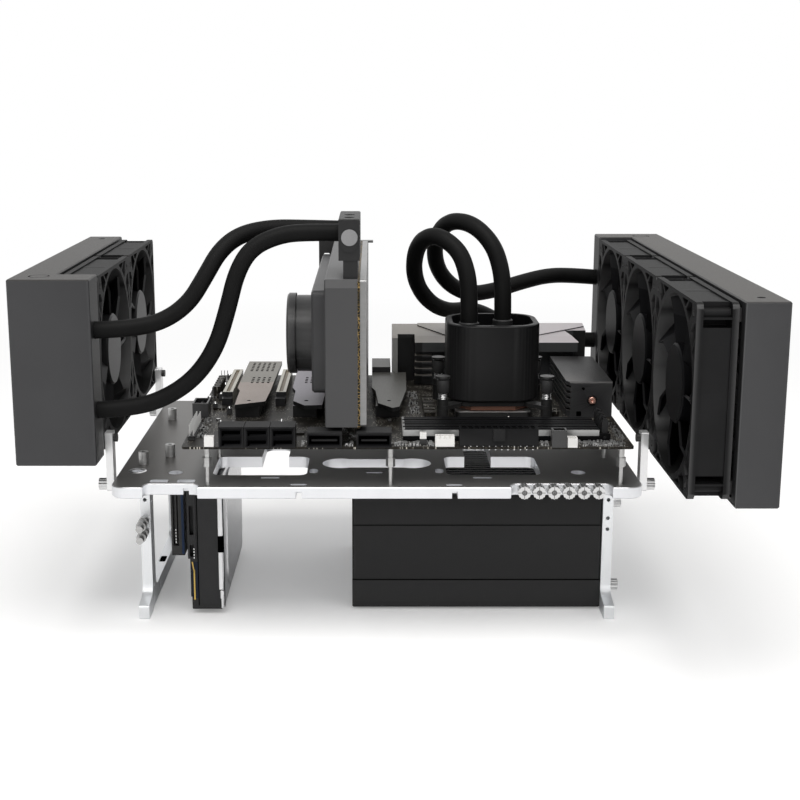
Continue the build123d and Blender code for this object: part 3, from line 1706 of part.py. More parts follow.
hose_card_upper_route = (
    (-port_face_x, left_port_y, port_zs[1]),
    (-166.0, -85.7, 221.3),
    (-143.0, -82.0, 225.0),
    (-125.0, -78.0, 237.0),
    (-114.0, -73.0, 255.0),
    (-105.0, -66.0, 271.0),
    (-92.0, -57.0, 281.0),
    (-72.0, -47.0, 284.5),
    (-49.0, -41.0, 283.7),
    (manifold_left_x, manifold_port_ys[1], manifold_port_z),
)
hose_card_lower_route = (
    (-port_face_x, left_port_y, port_zs[0]),
    (-167.0, -86.0, 167.5),
    (-144.0, -85.0, 173.0),
    (-122.0, -84.0, 187.0),
    (-107.0, -82.0, 208.0),
    (-99.0, -79.0, 234.0),
    (-93.0, -76.0, 258.0),
    (-83.0, -72.0, 274.0),
    (-64.0, -68.0, 282.0),
    (-45.0, -66.3, 283.3),
    (manifold_left_x, manifold_port_ys[0], manifold_port_z),
)
hose_pump_near_route = (
    (near_port[0], near_port[1], hose_start_z),
    (68.0, 19.0, 226.0),
    (66.5, 20.0, 245.0),
    (60.0, 25.0, 262.0),
    (44.0, 36.0, 272.0),
    (32.0, 52.0, 265.0),
    (28.0, 70.0, 246.0),
    (31.5, 89.0, 226.5),
    (43.0, 109.0, 209.5),
    (58.5, 129.0, 200.0),
    (77.0, 149.0, 199.0),
    (94.0, 167.0, 191.0),
    (112.0, 179.0, 178.0),
    (136.0, 184.0, 169.5),
    (162.0, right_port_y, 167.0),
    (port_face_x, right_port_y, port_zs[0]),
)
hose_pump_rear_route = (
    (rear_port[0], rear_port[1], hose_start_z),
    (94.0, 33.0, 226.0),
    (92.5, 34.0, 246.0),
    (86.0, 39.0, 265.0),
    (71.0, 51.0, 279.0),
    (54.0, 68.0, 279.0),
    (45.0, 86.0, 263.0),
    (46.5, 103.0, 240.5),
    (58.5, 117.0, 223.0),
    (76.0, 130.0, 213.5),
    (99.0, 143.0, 215.5),
    (121.0, 156.0, 220.5),
    (143.0, 169.0, 224.0),
    (164.0, 179.5, 223.0),
    (port_face_x, right_port_y, port_zs[1]),
)
build_hose("hose_card_upper", hose_card_upper_route, hose_diameter)
build_hose("hose_card_lower", hose_card_lower_route, hose_diameter)
build_hose("hose_pump_near", hose_pump_near_route, pump_hose_diameter)
build_hose("hose_pump_rear", hose_pump_rear_route, pump_hose_diameter)

# Power supply: a lower shell with the fan well, under a cover with a grille
psu_seam_z = psu_bottom + psu_seam_height
psu_well_floor = psu_top - psu_wall - psu_well_depth
psu_outline_centre = (psu_fan_x, leg_centre_y)
with BuildPart() as psu_case:
    with BuildSketch(Plane.XY.offset(psu_bottom)):
        with Locations(psu_outline_centre):
            Rectangle(psu_length, psu_width)
    extrude(amount=psu_seam_height)
    chamfer(psu_case.faces().sort_by(Axis.Z)[0].edges(), length=1.0)
    # Inner block that carries the fan, clear of the cover's walls
    with BuildSketch(Plane.XY.offset(psu_seam_z)):
        with Locations(psu_outline_centre):
            Rectangle(psu_length - 2 * psu_wall, psu_width - 2 * psu_wall)
    extrude(amount=psu_top - psu_wall - psu_seam_z)
    with BuildSketch(Plane.XY.offset(psu_top - psu_wall)):
        with Locations(psu_outline_centre):
            Circle(psu_well_radius)
    extrude(amount=-psu_well_depth, mode=Mode.SUBTRACT)
    with BuildSketch(Plane.XY.offset(psu_well_floor)):
        with Locations(psu_outline_centre):
            Circle(psu_fan_hub_radius - 5.0)
    extrude(amount=psu_well_depth - 9.0)
    with BuildSketch(Plane.XY.offset(psu_well_floor + psu_well_depth - 9.0)):
        with Locations(psu_outline_centre):
            Circle(spindle_radius + spindle_clearance)
    extrude(amount=-14.0, mode=Mode.SUBTRACT)
    # Thumbscrew holes in the outlet end
    for hole_y in psu_screw_ys:
        for hole_z in psu_screw_heights:
            rod(
                (psu_left + psu_length, hole_y, psu_bottom + hole_z),
                (-1, 0, 0),
                nut_stud_radius + stud_clearance,
                nut_stud_depth + 1,
                mode=Mode.SUBTRACT,
            )
    # Mains inlet and switch recess in the outlet end
    block(
        (psu_left + psu_length - 14.0, psu_left + psu_length + 1),
        (psu_front + 92.0, psu_front + 119.0),
        (psu_bottom + 40.0, psu_bottom + 59.0),
        mode=Mode.SUBTRACT,
    )
    block(
        (psu_left + psu_length - 15.0, psu_left + psu_length - 2.5),
        (psu_front + 95.0, psu_front + 116.0),
        (psu_bottom + 43.0, psu_bottom + 56.0),
    )
save(psu_case, "psu_case")

with BuildPart() as psu_cover:
    with BuildSketch(Plane.XY.offset(psu_seam_z)):
        with Locations(psu_outline_centre):
            RectangleRounded(psu_length, psu_width, psu_corner_radius)
    extrude(amount=psu_top - psu_seam_z)
    chamfer(psu_cover.faces().sort_by(Axis.Z)[-1].edges(), length=0.8)
    with BuildSketch(Plane.XY.offset(psu_seam_z)):
        with Locations(psu_outline_centre):
            Rectangle(psu_length - 2 * psu_wall, psu_width - 2 * psu_wall)
    extrude(amount=psu_top - psu_wall - psu_seam_z, mode=Mode.SUBTRACT)
    # Fold line across the long sides
    for wall_y in (psu_front, psu_front + psu_width - 0.4):
        block(
            (psu_left - 1, psu_left + psu_length + 1),
            (wall_y, wall_y + 0.4),
            (psu_bottom + psu_groove_height, psu_bottom + psu_groove_height + 0.5),
            mode=Mode.SUBTRACT,
        )
    # Slatted grille over the fan
    with BuildSketch(Plane.XY.offset(psu_top - psu_wall)):
        with Locations(psu_outline_centre):
            slat_count = int(2 * psu_well_radius / grille_pitch)
            with GridLocations(1.0, grille_pitch, 1, slat_count):
                Rectangle(2 * psu_well_radius - 4.0, grille_pitch - grille_slat)
            Circle(psu_well_radius - 3.0, mode=Mode.INTERSECT)
    extrude(amount=psu_wall, mode=Mode.SUBTRACT)
    # Outlet end: the wall is open to the case's inlet and screw holes
    for hole_y in psu_screw_ys:
        rod(
            (psu_left + psu_length + 1, hole_y, psu_bottom + psu_screw_heights[1]),
            (-1, 0, 0),
            nut_stud_radius + stud_clearance,
            psu_wall + 2,
            mode=Mode.SUBTRACT,
        )
    block(
        (psu_left + psu_length - psu_wall - 1, psu_left + psu_length + 1),
        (psu_front + 91.0, psu_front + 120.0),
        (psu_bottom + 39.0, psu_bottom + 60.0),
        mode=Mode.SUBTRACT,
    )
    with BuildSketch(Plane.YZ.offset(psu_left + psu_length)):
        with Locations((psu_front + 50.0, psu_bottom + 52.0)):
            with HexLocations(3.6, 9, 6):
                RegularPolygon(2.9, 6)
    extrude(amount=-psu_wall, mode=Mode.SUBTRACT)
save(psu_cover, "psu_cover")

# Power supply fan rotor, turning under the grille
psu_hub_top = psu_top - psu_wall - 3.0
psu_tip_radius = psu_well_radius - 2.5
with BuildPart() as psu_fan:
    for blade in range(blade_count):
        turn = blade * 360 / blade_count
        for radius, chord, pitch, sweep_angle in (
            (psu_fan_hub_radius - 1.5, blade_root_chord - 3.0, 38.0, 0.0),
            (psu_tip_radius + 3.0, blade_tip_chord, 22.0, blade_sweep),
        ):
            angle = radians(turn + sweep_angle)
            origin = (
                psu_fan_x + radius * cos(angle),
                leg_centre_y + radius * sin(angle),
                psu_hub_top - 9.5,
            )
            with BuildSketch(
                Plane(
                    origin=origin,
                    x_dir=(-sin(angle), cos(angle), 0),
                    z_dir=(cos(angle), sin(angle), 0),
                )
            ):
                Rectangle(chord, blade_thickness, rotation=pitch)
        loft(ruled=True)
    with BuildSketch(Plane.XY.offset(psu_hub_top - 20.0)):
        with Locations(psu_outline_centre):
            Circle(psu_tip_radius)
    extrude(amount=20.0, mode=Mode.INTERSECT)
    with BuildSketch(Plane.XY.offset(psu_hub_top - 17.0)):
        with Locations(psu_outline_centre):
            Circle(psu_fan_hub_radius)
    extrude(amount=17.0)
    with BuildSketch(Plane.XY.offset(psu_hub_top - 17.0)):
        with Locations(psu_outline_centre):
            Circle(psu_fan_hub_radius - hub_wall)
    extrude(amount=17.0 - hub_wall, mode=Mode.SUBTRACT)
    with BuildSketch(Plane.XY.offset(psu_hub_top - hub_wall)):
        with Locations(psu_outline_centre):
            Circle(spindle_radius)
    extrude(amount=-(3.5 + 13.5))
save(psu_fan, "psu_fan")

# Hard drive: a cast body with its cover on the right and board on the left
with BuildPart() as hard_drive:
    drive_bottom = plate_bottom - drive_width
    block(
        (drive_left + 1.6, drive_left + drive_thickness - drive_cover_thickness),
        (drive_front, drive_front + drive_length),
        (drive_bottom, plate_bottom),
    )
    body_edges = hard_drive.edges().filter_by(Axis.X)
    fillet(body_edges, radius=2.5)
    # Board and socket block on the left side
    block(
        (drive_left, drive_left + 1.6),
        (drive_front + 6.0, drive_front + drive_length - 30.0),
        (drive_bottom + 8.0, plate_bottom - 8.0),
    )
    block(
        (drive_left - 0.6, drive_left + 5.4),
        (drive_front - 0.8, drive_front + 8.0),
        (plate_bottom - 62.0, plate_bottom - 10.0),
    )
    for low_z, high_z in ((plate_bottom - 60.5, plate_bottom - 51.5), (plate_bottom - 44.0, plate_bottom - 22.0)):
        block(
            (drive_left + 0.9, drive_left + 3.9),
            (drive_front - 1, drive_front + 5.0),
            (low_z, high_z),
            mode=Mode.SUBTRACT,
        )
save(hard_drive, "hard_drive")

with BuildPart() as hard_drive_cover:
    cover_x = drive_left + drive_thickness - drive_cover_thickness
    with BuildSketch(Plane.YZ.offset(cover_x)):
        with Locations(
            (drive_front + drive_length / 2, plate_bottom - drive_width / 2)
        ):
            RectangleRounded(drive_length - 3.0, drive_width - 3.0, 5.0)
            with GridLocations(drive_length - 3.0, drive_width - 36.0, 2, 2):
                Rectangle(8.0, 7.0, mode=Mode.SUBTRACT)
    extrude(amount=1.8)
    with BuildSketch(Plane.YZ.offset(cover_x + 1.8)):
        with Locations(
            (drive_front + drive_length / 2 + 6.0, plate_bottom - drive_width / 2)
        ):
            RectangleRounded(drive_length - 36.0, drive_width - 14.0, 16.0)
    extrude(amount=drive_cover_thickness - 1.8)
save(hard_drive_cover, "hard_drive_cover")

# Solid-state drive: a thin case with its edge socket at the front
with BuildPart() as solid_state_drive:
    ssd_bottom = plate_bottom - ssd_width
    block(
        (ssd_left, ssd_left + ssd_thickness),
        (ssd_front, ssd_front + ssd_length),
        (ssd_bottom, plate_bottom),
    )
    fillet(solid_state_drive.edges().filter_by(Axis.X), radius=2.0)
    block(
        (ssd_left + 1.4, ssd_left + 5.4),
        (ssd_front - 1, ssd_front + 5.0),
        (ssd_bottom + 8.0, ssd_bottom + 50.0),
        mode=Mode.SUBTRACT,
    )
    block(
        (ssd_left + 3.0, ssd_left + 4.2),
        (ssd_front + 0.6, ssd_front + 5.0),
        (ssd_bottom + 9.5, ssd_bottom + 48.5),
    )
save(solid_state_drive, "solid_state_drive")
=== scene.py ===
import random
from math import cos, pi, radians, sin

import bmesh
import bpy
from mathutils import Matrix, Vector


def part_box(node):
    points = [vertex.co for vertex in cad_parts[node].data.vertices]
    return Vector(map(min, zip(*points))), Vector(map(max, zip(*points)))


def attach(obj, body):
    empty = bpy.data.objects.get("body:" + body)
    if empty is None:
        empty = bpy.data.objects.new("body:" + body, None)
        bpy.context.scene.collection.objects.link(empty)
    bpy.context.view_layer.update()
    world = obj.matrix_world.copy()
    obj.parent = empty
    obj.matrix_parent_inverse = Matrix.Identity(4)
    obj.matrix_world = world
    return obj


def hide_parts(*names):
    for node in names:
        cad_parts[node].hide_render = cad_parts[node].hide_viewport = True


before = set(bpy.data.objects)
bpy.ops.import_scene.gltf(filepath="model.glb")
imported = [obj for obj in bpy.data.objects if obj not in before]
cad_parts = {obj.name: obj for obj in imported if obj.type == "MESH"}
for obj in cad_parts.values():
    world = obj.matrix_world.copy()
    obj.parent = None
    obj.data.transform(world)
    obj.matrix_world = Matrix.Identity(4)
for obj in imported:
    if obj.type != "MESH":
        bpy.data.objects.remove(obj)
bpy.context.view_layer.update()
BENCH = "bench"

# Camera at the photograph's viewing angle
CAMERA_PLACE = (-0.002363, -0.998142, 0.374622)
CAMERA_TILT = radians(77.557)
CAMERA_LENS = 62.914
CAMERA_SHIFT = 0.03325
SENSOR_WIDTH = 36.0
CLIP_START = 0.01
CLIP_END = 50.0

camera_data = bpy.data.cameras.new("camera")
camera_data.lens = CAMERA_LENS
camera_data.sensor_width = SENSOR_WIDTH
camera_data.shift_x = CAMERA_SHIFT
camera_data.clip_start = CLIP_START
camera_data.clip_end = CLIP_END
camera = bpy.data.objects.new("camera", camera_data)
camera.location = CAMERA_PLACE
camera.rotation_euler = (CAMERA_TILT, 0.0, 0.0)
bpy.context.collection.objects.link(camera)
bpy.context.scene.camera = camera
bpy.context.scene.view_settings.view_transform = "Standard"


# Materials: each is one shader with grain, tone variation and bump
NOISE_ROUGHNESS = 0.55
DRIFT_SCALE = 35.0
DRIFT_DETAIL = 3.0
GRAIN_DETAIL = 2.0
GLOSS_SPREAD = 0.06
LOWEST_GLOSS = 0.02
SPECKLE_SHADE = 0.8
SPECKLE_SHARE = 0.35
# Sharp edges are painted lighter: a painted highlight
EDGE_HIGHLIGHT_FROM = 0.52
EDGE_HIGHLIGHT_TO = 0.62
EDGE_HIGHLIGHT_GAIN = 1.5
EDGE_HIGHLIGHT_LIFT = 0.12
BRUSHED = (1.0, 1.0, 9.0)
FINELY_BRUSHED = (1.0, 1.0, 16.0)


def new_material(name):
    """An empty node material with its shader and output."""
    material = bpy.data.materials.new(name)
    material.use_nodes = True
    tree = material.node_tree
    shader = tree.nodes["Principled BSDF"]
    return material, tree, shader


def object_coordinates(tree, scale=(1.0, 1.0, 1.0)):
    """Object coordinates in metres, stretched by a scale for each axis."""
    source = tree.nodes.new("ShaderNodeTexCoord")
    mapping = tree.nodes.new("ShaderNodeMapping")
    mapping.inputs["Scale"].default_value = scale
    tree.links.new(source.outputs["Object"], mapping.inputs["Vector"])
    return mapping.outputs["Vector"]


def noise(tree, vector, scale, detail):
    """Soft noise between 0 and 1."""
    node = tree.nodes.new("ShaderNodeTexNoise")
    node.inputs["Scale"].default_value = scale
    node.inputs["Detail"].default_value = detail
    node.inputs["Roughness"].default_value = NOISE_ROUGHNESS
    tree.links.new(vector, node.inputs["Vector"])
    return node.outputs["Fac"]


def map_range(tree, value, low, high, from_low=0.3, from_high=0.7):
    """A value's range turned into another one, held at both ends."""
    node = tree.nodes.new("ShaderNodeMapRange")
    node.inputs["From Min"].default_value = from_low
    node.inputs["From Max"].default_value = from_high
    node.inputs["To Min"].default_value = low
    node.inputs["To Max"].default_value = high
    tree.links.new(value, node.inputs["Value"])
    return node.outputs["Result"]


def mix_colour(tree, factor, first, second):
    """Blends two colours, each a tuple or an output socket."""
    node = tree.nodes.new("ShaderNodeMix")
    node.data_type = "RGBA"
    tree.links.new(factor, node.inputs["Factor"])
    for socket, colour in ((node.inputs["A"], first), (node.inputs["B"], second)):
        if isinstance(colour, tuple):
            socket.default_value = (*colour, 1.0)
        else:
            tree.links.new(colour, socket)
    return node.outputs["Result"]


def add_bump(tree, shader, height, distance):
    """Bump from a height socket, as deep as the distance in metres."""
    bump = tree.nodes.new("ShaderNodeBump")
    bump.inputs["Strength"].default_value = 1.0
    bump.inputs["Distance"].default_value = distance
    tree.links.new(height, bump.inputs["Height"])
    tree.links.new(bump.outputs["Normal"], shader.inputs["Normal"])


def surface(
    name,
    colour,
    roughness,
    metallic=0.0,
    tone=0.1,
    grain=2600.0,
    bump=0.00002,
    edge=0.0,
    stretch=(1.0, 1.0, 1.0),
    specular=0.5,
):
    """A general surface: tone drift, fine grain, bump and sharp edges painted lighter as a painted
    highlight.
    """
    material, tree, shader = new_material(name)
    vector = object_coordinates(tree, stretch)
    drift = noise(tree, vector, DRIFT_SCALE, DRIFT_DETAIL)
    fine = noise(tree, vector, grain, GRAIN_DETAIL)
    dark = tuple(channel * (1.0 - tone) for channel in colour)
    light = tuple(min(1.0, channel * (1.0 + tone)) for channel in colour)
    result = mix_colour(tree, map_range(tree, drift, 0.0, 1.0), dark, light)
    speckle = map_range(tree, fine, 0.0, SPECKLE_SHARE)
    shade = tuple(channel * SPECKLE_SHADE for channel in colour)
    result = mix_colour(tree, speckle, result, shade)
    if edge > 0.0:
        geometry = tree.nodes.new("ShaderNodeNewGeometry")
        point = geometry.outputs["Pointiness"]
        edge_highlight = map_range(tree, point, 0.0, edge, EDGE_HIGHLIGHT_FROM, EDGE_HIGHLIGHT_TO)
        bright = tuple(min(1.0, channel * EDGE_HIGHLIGHT_GAIN + EDGE_HIGHLIGHT_LIFT) for channel in colour)
        result = mix_colour(tree, edge_highlight, result, bright)
    tree.links.new(result, shader.inputs["Base Color"])
    low_gloss = max(LOWEST_GLOSS, roughness - GLOSS_SPREAD)
    gloss = map_range(tree, fine, low_gloss, min(1.0, roughness + GLOSS_SPREAD))
    tree.links.new(gloss, shader.inputs["Roughness"])
    shader.inputs["Metallic"].default_value = metallic
    shader.inputs["Specular IOR Level"].default_value = specular
    add_bump(tree, shader, fine, bump)
    return material


def calculate(tree, operation, *values):
    """A math node on one or two output sockets."""
    node = tree.nodes.new("ShaderNodeMath")
    node.operation = operation
    for socket, value in zip(node.inputs, values):
        tree.links.new(value, socket)
    return node.outputs["Value"]


# Masks: each is 1 where a second colour goes over a surface
NORMAL_UP = (0.6, 0.9)
NORMAL_LEVEL = (0.6, 0.3)
NORMAL_ASIDE = (0.8, 0.95)


def combined(tree, first, second):
    """The product of two masks."""
    return calculate(tree, "MULTIPLY", first, second)


def normal_part(tree, axis):
    """What the surface's normal has along an axis."""
    geometry = tree.nodes.new("ShaderNodeNewGeometry")
    parts = tree.nodes.new("ShaderNodeSeparateXYZ")
    tree.links.new(geometry.outputs["Normal"], parts.inputs["Vector"])
    return parts.outputs[axis]


def upward(tree):
    """A mask that is 1 on faces that look up."""
    return map_range(tree, normal_part(tree, "Z"), 0.0, 1.0, *NORMAL_UP)


def walls(tree):
    """A mask that is 1 on faces that don't look up."""
    return map_range(tree, normal_part(tree, "Z"), 0.0, 1.0, *NORMAL_LEVEL)


def sideways(tree):
    """A mask that is 1 on faces that look left or right."""
    size = calculate(tree, "ABSOLUTE", normal_part(tree, "X"))
    return map_range(tree, size, 0.0, 1.0, *NORMAL_ASIDE)


def beyond(tree, axis, low, high):
    """A mask that rises from 0 to 1 between two places on an axis, in metres."""
    parts = tree.nodes.new("ShaderNodeSeparateXYZ")
    tree.links.new(object_coordinates(tree), parts.inputs["Vector"])
    return map_range(tree, parts.outputs[axis], 0.0, 1.0, low, high)


def past(axis, low, high):
    """Builds a mask for all that lies past a place on an axis."""
    return lambda tree: beyond(tree, axis, low, high)


def top_past(axis, low, high):
    """Builds a mask for the faces past a place that look up."""
    return lambda tree: combined(tree, upward(tree), beyond(tree, axis, low, high))


def wall_past(axis, low, high):
    """Builds a mask for the faces past a place that don't look up."""
    return lambda tree: combined(tree, walls(tree), beyond(tree, axis, low, high))


def paint_over(material, build_mask, colour):
    """Blend a second colour over a surface where its mask is 1."""
    tree = material.node_tree
    shader = tree.nodes["Principled BSDF"]
    base = shader.inputs["Base Color"].links[0].from_socket
    tree.links.new(mix_colour(tree, build_mask(tree), base, colour), shader.inputs["Base Color"])


# Bench: the plate's top is painted darker than its edges, a painted reflection of the dark parts
# above it, and darker still at the left end as painted shade
bead_blasted = surface(
    "bead_blasted", (0.84, 0.85, 0.875), roughness=0.40, metallic=0.8, tone=0.03, grain=5200.0,
    bump=0.000012,
)
paint_over(bead_blasted, upward, (0.31, 0.305, 0.30))
paint_over(bead_blasted, top_past("X", -0.100, -0.140), (0.125, 0.120, 0.114))
leg_satin = surface(
    "leg_satin", (0.90, 0.915, 0.93), roughness=0.42, metallic=0.8, tone=0.03, grain=5200.0,
    bump=0.000012,
)
post_satin = surface(
    "post_satin", (0.86, 0.86, 0.865), roughness=0.38, metallic=0.9, tone=0.04, grain=4200.0,
    bump=0.000012,
)
turned_steel = surface(
    "turned_steel", (0.74, 0.74, 0.74), roughness=0.28, metallic=1.0, tone=0.08, grain=900.0,
    bump=0.00003, stretch=BRUSHED,
)
standoff_steel = surface(
    "standoff_steel", (0.50, 0.50, 0.495), roughness=0.38, metallic=1.0, tone=0.12, grain=900.0,
    bump=0.00003, stretch=BRUSHED,
)
knurled_steel = surface(
    "knurled_steel", (0.70, 0.70, 0.70), roughness=0.32, metallic=1.0, grain=1600.0, bump=0.00012
)

# Dark screws, plastics and rubber. Fan frames have painted shade on top and at the sides,
# hubs are painted lighter than blades as painted light, and the right fans' rotors are a darker
# copy, painted shade
black_screw = surface(
    "black_screw", (0.020, 0.020, 0.020), roughness=0.35, tone=0.15, grain=2500.0, specular=0.4
)
black_plastic = surface(
    "black_plastic", (0.013, 0.013, 0.0135), roughness=0.48, tone=0.15, grain=3000.0, bump=0.00003,
    specular=0.3,
)
fan_plastic = surface(
    "fan_plastic", (0.0145, 0.0145, 0.015), roughness=0.50, tone=0.15, grain=3200.0, bump=0.00003,
    edge=0.5, specular=0.07,
)
paint_over(fan_plastic, sideways, (0.0045, 0.0045, 0.0048))
paint_over(fan_plastic, upward, (0.0065, 0.0065, 0.0065))
rotor_plastic = surface(
    "rotor_plastic", (0.0075, 0.0075, 0.008), roughness=0.42, tone=0.15, grain=2800.0,
    specular=0.25,
)
paint_over(rotor_plastic, sideways, (0.033, 0.033, 0.034))
rotor_shaded = surface(
    "rotor_shaded", (0.0035, 0.0035, 0.004), roughness=0.45, tone=0.15, grain=2800.0, specular=0.05
)
paint_over(rotor_shaded, sideways, (0.0068, 0.0068, 0.0072))
hose_rubber = surface(
    "hose_rubber", (0.0055, 0.0055, 0.0055), roughness=0.55, tone=0.2, grain=1800.0, bump=0.00004,
    specular=0.09,
)

# Radiators, card, pump and supply
radiator_paint = surface(
    "radiator_paint", (0.0340, 0.0343, 0.0362), roughness=0.40, tone=0.08, bump=0.00003, edge=0.35,
    specular=0.12,
)
# Painted shade: the tops darker and warmer, the faces that look left or right darker still, and
# the left radiator's top darkest
paint_over(radiator_paint, upward, (0.031, 0.028, 0.024))
paint_over(radiator_paint, sideways, (0.012, 0.012, 0.0125))
paint_over(radiator_paint, top_past("X", -0.10, -0.12), (0.020, 0.018, 0.0155))
card_paint = surface(
    "card_paint", (0.0205, 0.0205, 0.0218), roughness=0.42, tone=0.08, bump=0.00003, edge=0.3,
    specular=0.25,
)
card_plastic = surface(
    "card_plastic", (0.058, 0.058, 0.060), roughness=0.45, bump=0.00003, specular=0.25
)
back_metal = surface(
    "back_metal", (0.26, 0.26, 0.26), roughness=0.36, metallic=0.7, tone=0.08, grain=900.0,
    stretch=BRUSHED,
)
card_gloss = surface(
    "card_gloss", (0.0085, 0.0085, 0.009), roughness=0.33, grain=3000.0, edge=0.5, specular=0.28
)
pump_paint = surface(
    "pump_paint", (0.0040, 0.0040, 0.0044), roughness=0.38, grain=3000.0, edge=0.6, specular=0.14
)
psu_paint = surface(
    "psu_paint", (0.0080, 0.0080, 0.0084), roughness=0.46, grain=2200.0, bump=0.00004, edge=0.15,
    specular=0.18,
)
# The supply's top is painted lighter: a painted highlight
paint_over(psu_paint, upward, (0.050, 0.050, 0.051))

# Board: sockets, slots and pins
socket_black = surface(
    "socket_black", (0.008, 0.008, 0.0085), roughness=0.42, tone=0.15, edge=0.35, specular=0.2
)
port_black = surface(
    "port_black", (0.0045, 0.0045, 0.005), roughness=0.42, tone=0.15, edge=0.15, specular=0.02
)
gap_black = surface("gap_black", (0.0008, 0.0008, 0.0008), roughness=0.8, specular=0.0)
memory_grey = surface(
    "memory_grey", (0.0065, 0.0065, 0.007), roughness=0.42, tone=0.12, specular=0.05
)
header_cream = surface("header_cream", (0.80, 0.79, 0.77), roughness=0.45, tone=0.05)
FOOT_LEFT = (0.0280, 0.0285)
FOOT_RIGHT = (0.0345, 0.0340)
FOOT_TOP = (0.1457, 0.1455)


def header_foot(tree):
    """A mask for the dark foot of one header at the board's front edge."""
    across = combined(tree, beyond(tree, "X", *FOOT_LEFT), beyond(tree, "X", *FOOT_RIGHT))
    return combined(tree, across, beyond(tree, "Z", *FOOT_TOP))


paint_over(header_cream, header_foot, (0.014, 0.014, 0.014))
steel_shell = surface(
    "steel_shell", (0.66, 0.64, 0.60), roughness=0.30, metallic=1.0, tone=0.08, grain=1800.0
)
load_frame = surface(
    "load_frame", (0.85, 0.85, 0.84), roughness=0.35, metallic=0.1, tone=0.06, grain=1800.0
)
paint_over(load_frame, past("Z", 0.1453, 0.1451), (0.03, 0.03, 0.03))
socket_pins = surface(
    "socket_pins", (0.010, 0.010, 0.0105), roughness=0.35, tone=0.15, edge=0.3, specular=0.35
)
PINS_FOOT = (0.1437, 0.1440)
PINS_BACK = (-0.018, -0.019)
PINS_RIGHT = (-0.1235, -0.1237)


def pin_rows(tree):
    """A mask for the bright pins that stand in one socket."""
    raised = combined(tree, beyond(tree, "Z", *PINS_FOOT), beyond(tree, "Y", *PINS_BACK))
    return combined(tree, raised, beyond(tree, "X", *PINS_RIGHT))


paint_over(socket_pins, pin_rows, (0.62, 0.62, 0.61))
slot_rails = surface("slot_rails", (0.42, 0.405, 0.35), roughness=0.38, tone=0.08, grain=1800.0)
paint_over(slot_rails, past("Y", 0.0462, 0.0460), (0.011, 0.011, 0.012))
slot_brown = surface("slot_brown", (0.095, 0.068, 0.034), roughness=0.45, tone=0.2, grain=700.0)
copper = surface(
    "copper", (0.40, 0.20, 0.14), roughness=0.40, metallic=0.5, tone=0.08, grain=1400.0
)
rose_copper = surface(
    "rose_copper", (0.62, 0.36, 0.29), roughness=0.30, metallic=0.8, tone=0.08, grain=1400.0
)

# Drive covers: bands of other tints along them, and dark walls
cover_paint = surface(
    "cover_paint", (0.25, 0.205, 0.18), roughness=0.42, tone=0.05, grain=1400.0, edge=0.2,
    specular=0.35,
)
paint_over(cover_paint, past("Y", 0.072, 0.074), (0.17, 0.16, 0.14))
paint_over(cover_paint, past("X", -0.067, -0.066), (0.25, 0.235, 0.27))
paint_over(cover_paint, past("X", -0.010, -0.009), (0.072, 0.071, 0.064))
paint_over(cover_paint, walls, (0.014, 0.014, 0.014))

# Heat sink: its top is painted lighter towards the front as a painted highlight, and painted shade
# darkens it towards the right
heatsink_metal = surface(
    "heatsink_metal", (0.017, 0.017, 0.018), roughness=0.40, grain=1800.0, bump=0.00003, edge=0.2,
    specular=0.2,
)
paint_over(heatsink_metal, top_past("Y", 0.040, 0.004), (0.105, 0.100, 0.098))
paint_over(heatsink_metal, top_past("X", 0.1400, 0.1600), (0.010, 0.010, 0.010))

# Socket cover: a top painted lighter, more so towards the right, as painted light; walls near both
# ends painted dark as painted shade; and a painted highlight on the face at its left end
cover_metal = surface(
    "cover_metal", (0.021, 0.0225, 0.024), roughness=0.36, tone=0.08, grain=1800.0, bump=0.00003,
    edge=0.2, specular=0.4,
)
paint_over(cover_metal, upward, (0.215, 0.20, 0.18))
paint_over(cover_metal, top_past("X", 0.035, 0.120), (0.46, 0.43, 0.445))
paint_over(cover_metal, wall_past("X", 0.0375, 0.0365), (0.006, 0.006, 0.006))
paint_over(cover_metal, wall_past("X", 0.1620, 0.1626), (0.006, 0.006, 0.006))
paint_over(cover_metal, wall_past("X", 0.0178, 0.0172), (0.26, 0.26, 0.25))

# Drives and small trim
drive_casting = surface(
    "drive_casting", (0.017, 0.017, 0.018), roughness=0.5, tone=0.15, grain=900.0, bump=0.00010,
    specular=0.3,
)
drive_silver = surface(
    "drive_silver", (0.68, 0.68, 0.69), roughness=0.30, metallic=1.0, tone=0.06, grain=700.0,
    stretch=FINELY_BRUSHED,
)
ssd_black = surface("ssd_black", (0.034, 0.033, 0.032), roughness=0.40, specular=0.4)
ssd_blue = surface("ssd_blue", (0.014, 0.036, 0.095), roughness=0.40, specular=0.2)
film_navy = surface("film_navy", (0.004, 0.008, 0.020), roughness=0.40, specular=0.2)
ribbon_yellow = surface("ribbon_yellow", (0.62, 0.42, 0.08), roughness=0.4)
disc_grey = surface(
    "disc_grey", (0.26, 0.26, 0.265), roughness=0.35, metallic=0.2, tone=0.08, grain=900.0,
    specular=0.2,
)
recess_grey = surface("recess_grey", (0.13, 0.13, 0.13), roughness=0.4, metallic=0.3)
bright_trim = surface(
    "bright_trim", (0.84, 0.84, 0.85), roughness=0.35, metallic=0.5, tone=0.03, grain=1800.0
)


FIN_SCALE = 190.0
FIN_WAVER = 0.6
FIN_DEPTH = 0.0006
FIN_DARK = (0.008, 0.008, 0.008)
FIN_LIGHT = (0.06, 0.06, 0.06)


